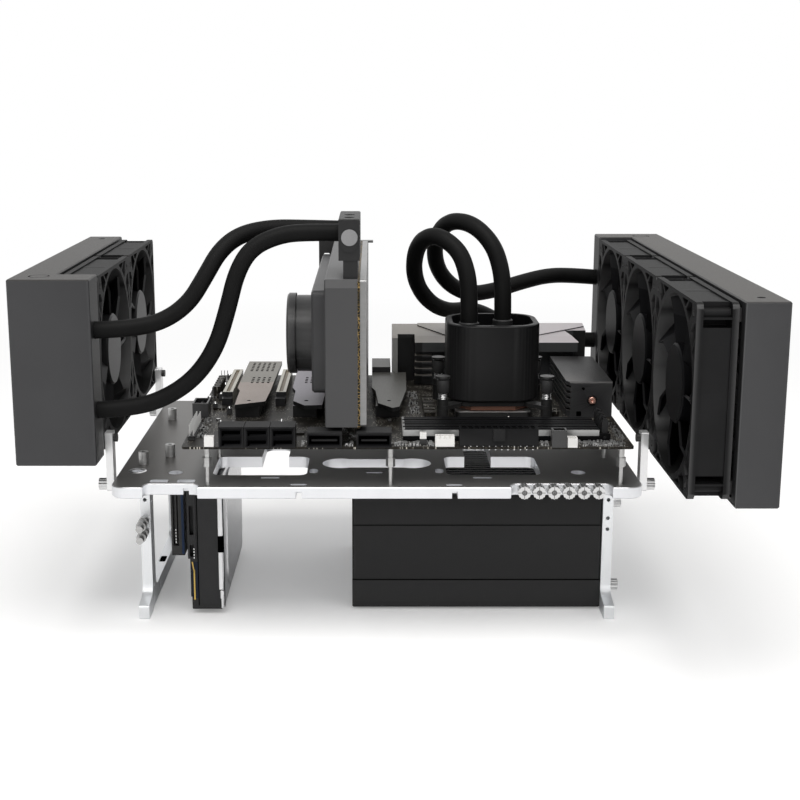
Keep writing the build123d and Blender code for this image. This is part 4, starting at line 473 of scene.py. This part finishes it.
def core_material():
    """Folded fins: fine ribs across the radiator's face."""
    material, tree, shader = new_material("radiator_fins")
    vector = object_coordinates(tree)
    wave = tree.nodes.new("ShaderNodeTexWave")
    wave.bands_direction = "Y"
    wave.inputs["Scale"].default_value = FIN_SCALE
    wave.inputs["Distortion"].default_value = FIN_WAVER
    wave.inputs["Detail"].default_value = 1.0
    tree.links.new(vector, wave.inputs["Vector"])
    colour = mix_colour(tree, wave.outputs["Fac"], FIN_DARK, FIN_LIGHT)
    tree.links.new(colour, shader.inputs["Base Color"])
    shader.inputs["Roughness"].default_value = 0.5
    shader.inputs["Metallic"].default_value = 0.4
    add_bump(tree, shader, wave.outputs["Fac"], FIN_DEPTH)
    return material


TRACK_HEIGHT = 0.00006
TRACK_EDGE = (0.02, 0.08)
TRACK_SHARE = 0.7
PATCH_SCALE = 60.0
AREA_SCALE = 90.0
DOT_SCALE = 480.0
DOT_EDGE = (0.12, 0.20)
DOT_AREAS = (0.47, 0.53)


def lacquer_material(name, base, track, scale=260.0, low=0.45, high=0.55, dots=None):
    """Circuit board lacquer with fine copper tracks and solder dots showing through."""
    material, tree, shader = new_material(name)
    vector = object_coordinates(tree)
    cells = tree.nodes.new("ShaderNodeTexVoronoi")
    cells.feature = "DISTANCE_TO_EDGE"
    cells.inputs["Scale"].default_value = scale
    tree.links.new(vector, cells.inputs["Vector"])
    line = map_range(tree, cells.outputs["Distance"], 1.0, 0.0, *TRACK_EDGE)
    patch = map_range(tree, noise(tree, vector, PATCH_SCALE, 1.0), 0.0, TRACK_SHARE, low, high)
    tracks = combined(tree, line, patch)
    colour = mix_colour(tree, tracks, base, track)
    if dots:
        points = tree.nodes.new("ShaderNodeTexVoronoi")
        points.voronoi_dimensions = "2D"
        points.inputs["Scale"].default_value = DOT_SCALE
        tree.links.new(vector, points.inputs["Vector"])
        dot = map_range(tree, points.outputs["Distance"], 1.0, 0.0, *DOT_EDGE)
        area = map_range(tree, noise(tree, vector, AREA_SCALE, 2.0), 0.0, 1.0, *DOT_AREAS)
        colour = mix_colour(tree, combined(tree, dot, area), colour, dots)
    tree.links.new(colour, shader.inputs["Base Color"])
    shader.inputs["Roughness"].default_value = 0.42
    shader.inputs["Specular IOR Level"].default_value = 0.12
    add_bump(tree, shader, tracks, TRACK_HEIGHT)
    return material


radiator_fins = core_material()
board_lacquer = lacquer_material(
    "board_lacquer", (0.013, 0.0115, 0.0095), (0.05, 0.045, 0.035), dots=(0.46, 0.44, 0.39)
)
card_lacquer = lacquer_material(
    "card_lacquer", (0.014, 0.012, 0.007), (0.42, 0.28, 0.10), 420.0, 0.30, 0.42
)

NODE_MATERIALS = {
    "tray_plate": bead_blasted,
    "leg_left": leg_satin,
    "leg_right": leg_satin,
    "radiator_posts_left": post_satin,
    "radiator_posts_right": post_satin,
    "thumb_nuts": knurled_steel,
    "corner_screws": black_screw,
    "board_standoffs": standoff_steel,
    "stored_thumbscrews": knurled_steel,
    "spare_standoffs": standoff_steel,
    "motherboard": board_lacquer,
    "sata_ports": port_black,
    "usb_headers": port_black,
    "atx_power_socket": port_black,
    "board_headers": header_cream,
    "board_sockets": socket_pins,
    "memory_slots": memory_grey,
    "card_slots": slot_rails,
    "drive_covers": cover_paint,
    "regulator_heatsink": heatsink_metal,
    "socket_cover": cover_metal,
    "rear_sockets": steel_shell,
    "cpu_socket": load_frame,
    "cold_plate": copper,
    "pump_bracket": black_screw,
    "pump_housing": pump_paint,
    "pump_screws": black_screw,
    "pump_fittings": black_plastic,
    "card_board": card_lacquer,
    "card_shroud": card_paint,
    "card_side_cover": card_plastic,
    "card_pump": card_gloss,
    "card_backplate": back_metal,
    "card_manifold": black_plastic,
    "card_bracket": black_screw,
    "radiator_left": radiator_paint,
    "radiator_right": radiator_paint,
    "radiator_core_left": radiator_fins,
    "radiator_core_right": radiator_fins,
    "fan_frames_left": fan_plastic,
    "fan_frames_right": fan_plastic,
    "psu_case": psu_paint,
    "psu_cover": psu_paint,
    "psu_fan": rotor_plastic,
    "hard_drive": drive_casting,
    "hard_drive_cover": drive_silver,
    "solid_state_drive": ssd_black,
}
for node_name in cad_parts:
    if node_name.startswith("fan_rotor_left"):
        NODE_MATERIALS[node_name] = rotor_plastic
    if node_name.startswith("fan_rotor_right"):
        NODE_MATERIALS[node_name] = rotor_shaded
    if node_name.startswith("memory_latch"):
        NODE_MATERIALS[node_name] = black_plastic
for node_name, material in NODE_MATERIALS.items():
    node = bpy.data.objects[node_name]
    for material_slot in node.material_slots:
        material_slot.material = material


# Hoses: each is one smooth spline with the route's points, in metres
CARD_HOSE = 0.0116
PUMP_HOSE = 0.0128
HOSE_ROUTES = {
    "hose_card_upper": (
        (-0.18625, -0.0863, 0.22075),
        (-0.1660, -0.0857, 0.2213),
        (-0.1430, -0.0820, 0.2250),
        (-0.1250, -0.0780, 0.2370),
        (-0.1140, -0.0730, 0.2550),
        (-0.1050, -0.0660, 0.2710),
        (-0.0920, -0.0570, 0.2810),
        (-0.0720, -0.0470, 0.2845),
        (-0.0490, -0.0410, 0.2837),
        (-0.0253, -0.0400, 0.2830),
    ),
    "hose_card_lower": (
        (-0.18625, -0.0863, 0.16675),
        (-0.1670, -0.0860, 0.1675),
        (-0.1440, -0.0850, 0.1730),
        (-0.1220, -0.0840, 0.1870),
        (-0.1070, -0.0820, 0.2080),
        (-0.0990, -0.0790, 0.2340),
        (-0.0930, -0.0760, 0.2580),
        (-0.0830, -0.0720, 0.2740),
        (-0.0640, -0.0680, 0.2820),
        (-0.0450, -0.0663, 0.2833),
        (-0.0253, -0.0660, 0.2830),
    ),
    "hose_pump_near": (
        (0.0680, 0.0190, 0.2091),
        (0.0680, 0.0190, 0.2260),
        (0.0665, 0.0200, 0.2450),
        (0.0600, 0.0250, 0.2620),
        (0.0440, 0.0360, 0.2720),
        (0.0320, 0.0520, 0.2650),
        (0.0280, 0.0700, 0.2460),
        (0.0315, 0.0890, 0.2265),
        (0.0430, 0.1090, 0.2095),
        (0.0585, 0.1290, 0.2000),
        (0.0770, 0.1490, 0.1990),
        (0.0940, 0.1670, 0.1910),
        (0.1120, 0.1790, 0.1780),
        (0.1360, 0.1840, 0.1695),
        (0.1620, 0.1838, 0.1670),
        (0.18625, 0.1838, 0.16675),
    ),
    "hose_pump_rear": (
        (0.0940, 0.0330, 0.2091),
        (0.0940, 0.0330, 0.2260),
        (0.0925, 0.0340, 0.2460),
        (0.0860, 0.0390, 0.2650),
        (0.0710, 0.0510, 0.2790),
        (0.0540, 0.0680, 0.2790),
        (0.0450, 0.0860, 0.2630),
        (0.0465, 0.1030, 0.2405),
        (0.0585, 0.1170, 0.2230),
        (0.0760, 0.1300, 0.2135),
        (0.0990, 0.1430, 0.2155),
        (0.1210, 0.1560, 0.2205),
        (0.1430, 0.1690, 0.2240),
        (0.1640, 0.1795, 0.2230),
        (0.18625, 0.1838, 0.22075),
    ),
}
HOSE_STEPS = 12
HOSE_ROUNDNESS = 6


def make_hose(node_name, points):
    """One stiff hose that replaces its CAD solid."""
    diameter = PUMP_HOSE if "pump" in node_name else CARD_HOSE
    curve = bpy.data.curves.new(node_name + "_line", "CURVE")
    curve.dimensions = "3D"
    spline = curve.splines.new("NURBS")
    spline.points.add(len(points) - 1)
    for control, point in zip(spline.points, points):
        control.co = (*point, 1.0)
    spline.order_u = 3
    spline.use_endpoint_u = True
    spline.resolution_u = HOSE_STEPS
    curve.bevel_depth = diameter / 2
    curve.bevel_resolution = HOSE_ROUNDNESS
    curve.use_fill_caps = True
    curve.materials.append(hose_rubber)
    piece = bpy.data.objects.new(node_name + "_skin", curve)
    bpy.context.collection.objects.link(piece)
    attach(piece, BENCH)
    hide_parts(node_name)


for hose_name, hose_points in HOSE_ROUTES.items():
    make_hose(hose_name, hose_points)


# Mesh helpers for the small pieces that dress the CAD model
UP = (0.0, 0.0, 1.0)
FRONT = (0.0, -1.0, 0.0)
SMOOTH_ANGLE = radians(35)


def about(centre, half):
    """The extent that reaches half a width to each side of a centre."""
    return centre - half, centre + half


def middle_of(node_name, axis):
    """The middle of a CAD node along an axis."""
    low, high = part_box(node_name)
    return (low[axis] + high[axis]) / 2


def add_box(bm, xs, ys, zs, bevel=0.0, roll=0.0):
    """A box with an extent on each axis, an optional bevel and a roll about Y."""
    spans = (xs, ys, zs)
    size = [high - low for low, high in spans]
    middle = [(high + low) / 2 for low, high in spans]
    turn = Matrix.Rotation(roll, 4, "Y")
    place = Matrix.Translation(middle) @ turn @ Matrix.Diagonal((*size, 1.0))
    made = bmesh.ops.create_cube(bm, size=1.0, matrix=place)
    if bevel > 0.0:
        edges = {edge for vert in made["verts"] for edge in vert.link_edges}
        bmesh.ops.bevel(
            bm, geom=list(edges), offset=bevel, segments=1, profile=0.5, affect="EDGES"
        )


def add_rod(bm, start, direction, radius, length, segments, tip_radius=None):
    """A round bar or cone from a point along a direction."""
    tip = radius if tip_radius is None else tip_radius
    axis = Vector(direction).normalized()
    turn = axis.to_track_quat("Z", "Y").to_matrix().to_4x4()
    middle = Vector(start) + axis * (length / 2)
    bmesh.ops.create_cone(
        bm,
        cap_ends=True,
        segments=segments,
        radius1=radius,
        radius2=tip,
        depth=length,
        matrix=Matrix.Translation(middle) @ turn,
    )


def add_ring(bm, centre, direction, profile, segments):
    """A turned ring: the profile's (radius, height) points about an axis."""
    axis = Vector(direction).normalized()
    turn = axis.to_track_quat("Z", "Y").to_matrix()
    loops = []
    for step in range(segments):
        angle = 2 * pi * step / segments
        loop = []
        for radius, height in profile:
            local = Vector((radius * cos(angle), radius * sin(angle), height))
            loop.append(bm.verts.new(Vector(centre) + turn @ local))
        loops.append(loop)
    count = len(profile)
    for step in range(segments):
        here, there = loops[step], loops[(step + 1) % segments]
        for index in range(count):
            after = (index + 1) % count
            bm.faces.new((here[index], there[index], there[after], here[after]))


def place_piece(name, bm, material, body=BENCH, smooth=True):
    """Turn a bmesh into a piece that rides on a body."""
    bmesh.ops.recalc_face_normals(bm, faces=bm.faces)
    data = bpy.data.meshes.new(name)
    bm.to_mesh(data)
    bm.free()
    data.materials.append(material)
    if smooth:
        data.shade_smooth()
        data.set_sharp_from_angle(angle=SMOOTH_ANGLE)
    piece = bpy.data.objects.new(name, data)
    bpy.context.collection.objects.link(piece)
    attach(piece, body)
    return piece


def box_piece(name, material, slot, *boxes, bevel=0.0):
    """A flat-shaded piece made of boxes, each an extent on X, Y and Z."""
    bm = bmesh.new()
    for xs, ys, zs in boxes:
        add_box(bm, xs, ys, zs, bevel)
    place_piece(name, bm, material, smooth=False)


# Small parts soldered to the board, scattered over its free regions
BOARD_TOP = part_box("memory_slots")[0][2]
FREE_REGIONS = (
    ((-0.1300, -0.0640), (-0.1180, 0.0000), 60),
    ((-0.1300, 0.0200), (-0.1280, 0.0620), 30),
    ((-0.1080, -0.0700), (-0.1010, -0.0100), 26),
    ((-0.0520, -0.0860), (-0.0480, -0.0720), 10),
    ((-0.0225, -0.0860), (-0.0148, -0.0720), 16),
    ((0.0110, -0.0855), (0.0275, -0.0720), 36),
    ((0.0345, -0.0855), (0.0390, -0.0720), 12),
    ((0.1100, -0.0855), (0.1172, -0.0720), 18),
    ((0.1360, -0.0765), (0.1640, -0.0715), 30),
    ((0.1480, -0.0855), (0.1600, -0.0780), 22),
    ((0.1640, -0.0700), (0.1710, -0.0100), 34),
    ((0.0240, -0.0260), (0.0500, -0.0080), 40),
    ((0.0230, 0.0080), (0.0330, 0.0900), 50),
    ((0.1180, -0.0260), (0.1300, -0.0060), 24),
    ((-0.0340, -0.0650), (-0.0080, -0.0200), 24),
    ((-0.0780, -0.0680), (-0.0700, -0.0200), 14),
    ((-0.1060, -0.0690), (-0.0560, -0.0150), 60),
    ((-0.1300, 0.0640), (-0.1185, 0.1440), 110),
    ((-0.0760, 0.0500), (-0.0700, 0.1300), 24),
    ((0.0230, -0.0860), (0.0400, -0.0710), 40),
    ((0.0930, -0.0300), (0.1180, -0.0240), 24),
    ((0.1360, -0.0860), (0.1700, -0.0720), 70),
)
PART_SEED = 7
CHIP_LENGTHS = (0.0010, 0.0016, 0.0016, 0.0021, 0.0030)
CHIP_WIDTH_SHARE = 0.55
CHIP_HEIGHT_SHARES = (0.35, 0.6)
SOLDER_LAP = 0.0002
SOLDER_SKIN = 0.0001


def add_chip(chips, ends, middle, size, height):
    """A chip, and a solder cap over each end of its longer side."""
    bottom = BOARD_TOP - SOLDER_SKIN
    top = BOARD_TOP + height
    body = [about(middle[axis], size[axis] / 2) for axis in (0, 1)]
    add_box(chips, *body, (bottom, top))
    along = 0 if size[0] > size[1] else 1
    across = 1 - along
    first, last = body[along]
    side = (body[across][0] - SOLDER_SKIN, body[across][1] + SOLDER_SKIN)
    quarter = size[along] / 4
    caps = (
        (first - SOLDER_LAP, middle[along] - quarter),
        (middle[along] + quarter, last + SOLDER_LAP),
    )
    for cap in caps:
        spans = (cap, side) if along == 0 else (side, cap)
        add_box(ends, *spans, (bottom, top + SOLDER_SKIN))


def scatter_parts():
    """Chips in one mesh and their bright solder ends in another."""
    chooser = random.Random(PART_SEED)
    chips = bmesh.new()
    ends = bmesh.new()
    for low, high, count in FREE_REGIONS:
        for _ in range(count):
            length = chooser.choice(CHIP_LENGTHS)
            width = length * CHIP_WIDTH_SHARE
            height = length * chooser.uniform(*CHIP_HEIGHT_SHARES)
            if chooser.random() < 0.5:
                length, width = width, length
            x = chooser.uniform(low[0] + length, high[0] - length)
            y = chooser.uniform(low[1] + width, high[1] - width)
            add_chip(chips, ends, (x, y), (length, width), height)
    place_piece("board_chips", chips, socket_black, smooth=False)
    place_piece("board_solder", ends, standoff_steel, smooth=False)


scatter_parts()


# Linings of the expansion slots
SLOT_XS = (-0.0120, -0.07296, -0.1136)
LINING_HALF = 0.00145
LINING_Y = (0.0481, 0.1329)
LINING_Z = (0.1442, 0.1496)
box_piece(
    "slot_lining",
    slot_brown,
    "card_socket",
    *((about(slot_x, LINING_HALF), LINING_Y, LINING_Z) for slot_x in SLOT_XS),
)

# Metal trim of the memory slots: a strip in front, an end plate with teeth on each
MEMORY_YS = [middle_of(f"memory_latch_{number}", 1) for number in (1, 2, 3, 4)]
STRIP = ((0.0181, 0.1519), (-0.07055, -0.07028), (0.1448, 0.1490))
END_PLATE_X = (0.01765, 0.01798)
END_PLATE_HALF = 0.0036
END_PLATE_Z = (0.1448, 0.1489)
TOOTH_X = (0.0176, 0.0192)
TOOTH_Z = (0.1489, 0.14935)
TOOTH_COUNT = 3
TOOTH_START = 0.0030
TOOTH_STEP = 0.0024
TOOTH_WIDTH = 0.0011


def trim_memory_slots():
    """All the trim in one piece."""
    trim = bmesh.new()
    add_box(trim, *STRIP)
    for memory_y in MEMORY_YS:
        add_box(trim, END_PLATE_X, about(memory_y, END_PLATE_HALF), END_PLATE_Z)
        for tooth in range(TOOTH_COUNT):
            tooth_y = memory_y - TOOTH_START + tooth * TOOTH_STEP
            add_box(trim, TOOTH_X, (tooth_y, tooth_y + TOOTH_WIDTH), TOOTH_Z)
    place_piece("memory_trim", trim, standoff_steel, smooth=False)


trim_memory_slots()

# Springs under the heads of the cooler's screws, and sleeves over them
SCREW_PLACES = [(x, y) for x in (0.0479, 0.1229) for y in (-0.0105, 0.0645)]
SPRING_RADIUS = 0.0030
WIRE_RADIUS = 0.0003
WIRE_SIDES = 6
SPRING_FOOT = 0.1580
SPRING_COILS = 4
SPRING_PITCH = 0.0011
SPRING_LEAN = (0.05, 0.0, 1.0)
SLEEVE_FOOT = 0.1622
SLEEVE = ((0.0024, 0.0), (0.0040, 0.0), (0.0044, 0.0008), (0.0044, 0.0096), (0.0024, 0.0104))


def dress_cooler_screws():
    """A spring of separate coils and a sleeve for each screw."""
    wire = []
    for step in range(WIRE_SIDES):
        angle = 2 * pi * step / WIRE_SIDES
        wire.append((SPRING_RADIUS + WIRE_RADIUS * cos(angle), WIRE_RADIUS * sin(angle)))
    springs = bmesh.new()
    sleeves = bmesh.new()
    for x, y in SCREW_PLACES:
        for coil in range(SPRING_COILS):
            coil_z = SPRING_FOOT + coil * SPRING_PITCH
            add_ring(springs, (x, y, coil_z), SPRING_LEAN, wire, 20)
        add_ring(sleeves, (x, y, SLEEVE_FOOT), UP, SLEEVE, 32)
    place_piece("screw_springs", springs, turned_steel)
    place_piece("screw_sleeves", sleeves, card_gloss)


dress_cooler_screws()

# Fastener, round vent and square vent in the regulator heat sink's front face
FASTENER_PLACE = (0.1578, 0.0021, 0.1536)
FASTENER = (
    (0.0002, 0.0), (0.0027, 0.0), (0.0027, 0.0012),
    (0.0022, 0.0018), (0.0010, 0.0018), (0.0002, 0.0010),
)
ROUND_VENT = (0.1513, 0.0022, 0.1624)
ROUND_VENT_RADIUS = 0.0010
ROUND_VENT_DEPTH = 0.0004
SQUARE_VENT = ((0.1466, 0.1500), (0.0018, 0.0022), (0.1420, 0.1454))


def dress_heatsink():
    """The copper fastener and the dark vents, which lie on the front face."""
    fastener = bmesh.new()
    add_ring(fastener, FASTENER_PLACE, FRONT, FASTENER, 32)
    place_piece("heatsink_fastener", fastener, rose_copper)
    vents = bmesh.new()
    add_rod(vents, ROUND_VENT, FRONT, ROUND_VENT_RADIUS, ROUND_VENT_DEPTH, 20)
    add_box(vents, *SQUARE_VENT)
    place_piece("heatsink_vents", vents, gap_black, smooth=False)


dress_heatsink()

# Rim of a hole in the plate's left end
RIM_PLACE = (-0.1689, -0.0451, 0.1129)
RIM = ((0.0049, 0.0), (0.0064, 0.0), (0.0064, 0.0003), (0.0058, 0.0007), (0.0049, 0.0007))
rims = bmesh.new()
add_ring(rims, RIM_PLACE, UP, RIM, 40)
place_piece("plate_rims", rims, turned_steel)

# Dark rounded marks in the legs' lower rails: painted shade for their slots
SLOT_SHADE_HALF = 0.0024
SLOT_SHADE_Y = (0.0487, 0.0623)
SLOT_SHADE_Z = (0.0104, 0.0136)
SLOT_SHADE_BEVEL = 0.0006
box_piece(
    "rail_slot_shade",
    gap_black,
    "screw_black",
    *((about(middle_of(leg, 0), SLOT_SHADE_HALF), SLOT_SHADE_Y, SLOT_SHADE_Z) for leg in ("leg_left", "leg_right")),
    bevel=SLOT_SHADE_BEVEL,
)

# Tall parts near the processor: dark cans with bright ends, and three header pins
CAN_PLACES = (
    (0.0855, -0.0240, 0.0050), (0.0945, -0.0240, 0.0056), (0.0530, -0.0220, 0.0032),
    (0.1160, -0.0225, 0.0032), (0.1120, -0.0245, 0.0040), (-0.1215, 0.0300, 0.0042),
    (-0.1275, 0.0480, 0.0052), (-0.1205, 0.0620, 0.0046), (-0.1275, 0.0800, 0.0060),
    (-0.1210, 0.1000, 0.0044), (-0.1270, 0.1200, 0.0056), (-0.1215, 0.1380, 0.0044),
    (-0.1110, -0.0300, 0.0040), (-0.1090, 0.0120, 0.0046), (-0.0680, -0.0250, 0.0036),
)
CAN_HALF_X = 0.0018
CAN_HALF_Y = 0.0016
CAN_TOP_RADIUS = 0.0013
CAN_TOP_TIP = 0.0006
CAN_TOP_HEIGHT = 0.0012
HEADER_PIN_COUNT = 3
HEADER_PIN_START = -0.1290
HEADER_PIN_STEP = 0.0025
HEADER_PIN_HALF = 0.0003
HEADER_PIN_Y = (0.1452, 0.1458)
HEADER_PIN_TOP = 0.1476


def add_tall_cans():
    """The cans in one piece, and their tops and the header's pins in another."""
    cans = bmesh.new()
    tops = bmesh.new()
    for x, y, height in CAN_PLACES:
        top = BOARD_TOP + height
        add_box(cans, about(x, CAN_HALF_X), about(y, CAN_HALF_Y), (BOARD_TOP, top))
        add_rod(tops, (x, y, top), UP, CAN_TOP_RADIUS, CAN_TOP_HEIGHT, 16, CAN_TOP_TIP)
    place_piece("tall_cans", cans, socket_black, smooth=False)
    for pin in range(HEADER_PIN_COUNT):
        pin_x = HEADER_PIN_START + pin * HEADER_PIN_STEP
        pin_z = (BOARD_TOP, HEADER_PIN_TOP)
        add_box(tops, about(pin_x, HEADER_PIN_HALF), HEADER_PIN_Y, pin_z)
    place_piece("tall_can_tops", tops, turned_steel)


add_tall_cans()

# Cross slots and centre rings of the stored thumbscrews' heads, drawn as flat grey marks in front
# of them: painted shade
STORED_COUNT = 6
STORED_STEP = 0.0101
CROSS_HALF = 0.0041
CROSS_Y = (-0.08705, -0.0869)
CROSS_Z = (0.1088, 0.1092)
CENTRE_RING = ((0.0010, 0.0), (0.0018, 0.0), (0.0018, 0.0002), (0.0010, 0.0002))


def mark_stored_screws():
    """A cross and a ring in front of each head, in one piece."""
    recesses = bmesh.new()
    row_middle = middle_of("stored_thumbscrews", 0)
    ring_z = middle_of("stored_thumbscrews", 2)
    for index in range(STORED_COUNT):
        screw_x = row_middle + (index - (STORED_COUNT - 1) / 2) * STORED_STEP
        for roll in (0.0, pi / 2):
            add_box(recesses, about(screw_x, CROSS_HALF), CROSS_Y, CROSS_Z, roll=roll)
        add_ring(recesses, (screw_x, CROSS_Y[1], ring_z), FRONT, CENTRE_RING, 24)
    place_piece("screw_recesses", recesses, recess_grey, smooth=False)


mark_stored_screws()

# Pin tails of the power socket, above and below the board's edge
TAIL_COUNT = 12
TAIL_START = 0.0590
TAIL_STEP = 0.0042
LOWER_TAIL = (0.0004, (-0.0848, -0.0840), (0.1384, 0.1396))
UPPER_TAIL = (0.0003, (-0.0860, -0.0854), (0.1410, 0.1416))
box_piece(
    "power_pins",
    turned_steel,
    "standoff_metal",
    *(
        (about(TAIL_START + index * TAIL_STEP, half), ys, zs)
        for index in range(TAIL_COUNT)
        for half, ys, zs in (LOWER_TAIL, UPPER_TAIL)
    ),
)

# Seams of the power supply's sheet metal
LOWER_SEAM = ((-0.0180, 0.1650), (-0.0197, -0.0194), (0.0227, 0.0235))
UPPER_SEAM = ((-0.0172, 0.1642), (-0.0196, -0.0194), (0.0646, 0.0651))
box_piece("supply_seams", gap_black, "psu_paint", LOWER_SEAM, UPPER_SEAM)

# Hard drive: its cable film, board edge and rim, and thin dark strips as painted shade in its gaps
FILM_Y = (-0.0304, -0.0300)
FILM_TOP = ((-0.1340, -0.1332), FILM_Y, (0.0330, 0.0405))
FILM_SIDE = ((-0.1334, -0.1324), FILM_Y, (0.0115, 0.0345))
FILM_LEAN = -0.16
BOARD_GAP = ((-0.1302, -0.1296), (-0.0303, -0.0299), (0.0070, 0.1045))
COVER_GAP = ((-0.1115, -0.1112), (-0.0285, -0.0255), (0.0050, 0.1040))
RIM_GAP = ((-0.1152, -0.1113), (-0.0307, -0.0284), (0.0478, 0.0600))
DRIVE_BOARD = ((-0.1348, -0.1302), (-0.0302, -0.0299), (0.0125, 0.0405))
RIM_BEVEL = 0.0003
DRIVE_RIM = (
    ((-0.1150, -0.1116), (-0.0304, -0.0284), (0.0600, 0.1045)),
    ((-0.1150, -0.1120), (-0.0304, -0.0284), (0.0190, 0.0478)),
    ((-0.1142, -0.1118), (-0.0303, -0.0284), (0.0120, 0.0182)),
    ((-0.1137, -0.1120), (-0.0302, -0.0284), (0.0048, 0.0120)),
)
film = bmesh.new()
add_box(film, *FILM_TOP, roll=FILM_LEAN)
add_box(film, *FILM_SIDE)
place_piece("drive_film", film, ribbon_yellow, smooth=False)
box_piece("drive_gaps", gap_black, "drive_casting", BOARD_GAP, COVER_GAP, RIM_GAP)
box_piece("drive_board_edge", film_navy, "ssd_shell", DRIVE_BOARD)
box_piece("drive_rim", bright_trim, "drive_cover_metal", *DRIVE_RIM, bevel=RIM_BEVEL)

# Pins of both drives' plugs, and the solid-state drive's blue edge
PIN_HEIGHT = 0.0012
PIN_ROWS = (
    ((-0.1329, -0.1322), (-0.0309, -0.0300), 0.0432, 0.0022, 4),
    ((-0.1498, -0.1492), (-0.0020, -0.0010), 0.0455, 0.0024, 5),
)
BLUE_EDGE = ((-0.1453, -0.14345), (-0.0017, -0.0013), (0.0368, 0.1047))


def add_drive_pins():
    """Each row of pins goes up from its first height by its step."""
    pins = bmesh.new()
    for xs, ys, first_z, step, count in PIN_ROWS:
        for index in range(count):
            pin_z = first_z + index * step
            add_box(pins, xs, ys, (pin_z, pin_z + PIN_HEIGHT))
    place_piece("drive_pins", pins, turned_steel, smooth=False)


add_drive_pins()
box_piece("drive_label_edge", ssd_blue, "ssd_shell", BLUE_EDGE)

# Plain disc on the card's hose block
DISC_PLACE = (-0.0181, -0.0815, 0.2812)
DISC_RADIUS = 0.0054
DISC_THICKNESS = 0.0009
disc = bmesh.new()
add_rod(disc, DISC_PLACE, FRONT, DISC_RADIUS, DISC_THICKNESS, 48)
place_piece("block_disc", disc, disc_grey)


# Floor, world and lamps
FLOOR_SIZE = 8.0
FLOOR_NEAR = 0.45
FLOOR_FAR = 1.6
FLOOR_LIFT = 0.20
FLOOR_COLOUR = (0.90, 0.90, 0.90, 1.0)
FLOOR_DROP = 0.0002
WORLD_LIGHT = 0.55
LAMP_TARGET = Vector((0.0, 0.0, 0.15))


def make_floor():
    """A pale floor that keeps shadows, lifted to the camera and white far away."""
    material, tree, shader = new_material("floor")
    shader.inputs["Base Color"].default_value = FLOOR_COLOUR
    shader.inputs["Roughness"].default_value = 0.9
    shader.inputs["Specular IOR Level"].default_value = 0.1
    path = tree.nodes.new("ShaderNodeLightPath")
    reach = tree.nodes.new("ShaderNodeVectorMath")
    reach.operation = "LENGTH"
    tree.links.new(object_coordinates(tree), reach.inputs[0])
    far = map_range(tree, reach.outputs["Value"], 0.0, 1.0, FLOOR_NEAR, FLOOR_FAR)
    lift = tree.nodes.new("ShaderNodeEmission")
    lift.inputs["Strength"].default_value = FLOOR_LIFT
    white = tree.nodes.new("ShaderNodeEmission")
    both = tree.nodes.new("ShaderNodeAddShader")
    tree.links.new(shader.outputs["BSDF"], both.inputs[0])
    tree.links.new(lift.outputs["Emission"], both.inputs[1])
    faded = tree.nodes.new("ShaderNodeMixShader")
    tree.links.new(far, faded.inputs["Fac"])
    tree.links.new(both.outputs["Shader"], faded.inputs[1])
    tree.links.new(white.outputs["Emission"], faded.inputs[2])
    seen = tree.nodes.new("ShaderNodeMixShader")
    tree.links.new(path.outputs["Is Camera Ray"], seen.inputs["Fac"])
    tree.links.new(shader.outputs["BSDF"], seen.inputs[1])
    tree.links.new(faded.outputs["Shader"], seen.inputs[2])
    output = tree.nodes["Material Output"]
    tree.links.new(seen.outputs["Shader"], output.inputs["Surface"])
    data = bpy.data.meshes.new("floor")
    bm = bmesh.new()
    bmesh.ops.create_grid(bm, x_segments=1, y_segments=1, size=FLOOR_SIZE)
    bm.to_mesh(data)
    bm.free()
    data.materials.append(material)
    floor = bpy.data.objects.new("floor", data)
    floor.location = (0.0, 0.0, -FLOOR_DROP)
    bpy.context.collection.objects.link(floor)


def make_world():
    """White to the camera and in gloss and glass, softer as a light."""
    world = bpy.data.worlds.new("studio")
    bpy.context.scene.world = world
    world.use_nodes = True
    tree = world.node_tree
    background = tree.nodes["Background"]
    path = tree.nodes.new("ShaderNodeLightPath")
    rays = path.outputs
    straight = calculate(tree, "MAXIMUM", rays["Is Camera Ray"], rays["Is Transmission Ray"])
    seen = calculate(tree, "MAXIMUM", straight, rays["Is Glossy Ray"])
    strength = map_range(tree, seen, WORLD_LIGHT, 1.0, 0.0, 1.0)
    background.inputs["Color"].default_value = (1.0, 1.0, 1.0, 1.0)
    tree.links.new(strength, background.inputs["Strength"])


def make_lamp(name, place, size, power, colour=(1.0, 1.0, 1.0)):
    """One square soft lamp aimed at the object's middle."""
    data = bpy.data.lights.new(name, "AREA")
    data.shape = "SQUARE"
    data.size = size
    data.energy = power
    data.color = colour
    lamp = bpy.data.objects.new(name, data)
    lamp.location = place
    direction = LAMP_TARGET - Vector(place)
    lamp.rotation_euler = direction.to_track_quat("-Z", "Y").to_euler()
    bpy.context.collection.objects.link(lamp)


make_floor()
make_world()
make_lamp("key", (-0.9, -1.3, 1.5), size=1.7, power=3.2)
make_lamp("fill", (1.4, -1.2, 0.9), size=1.2, power=3.5)
make_lamp("top", (0.0, -0.75, 1.8), size=1.3, power=25.0, colour=(1.0, 0.985, 0.965))
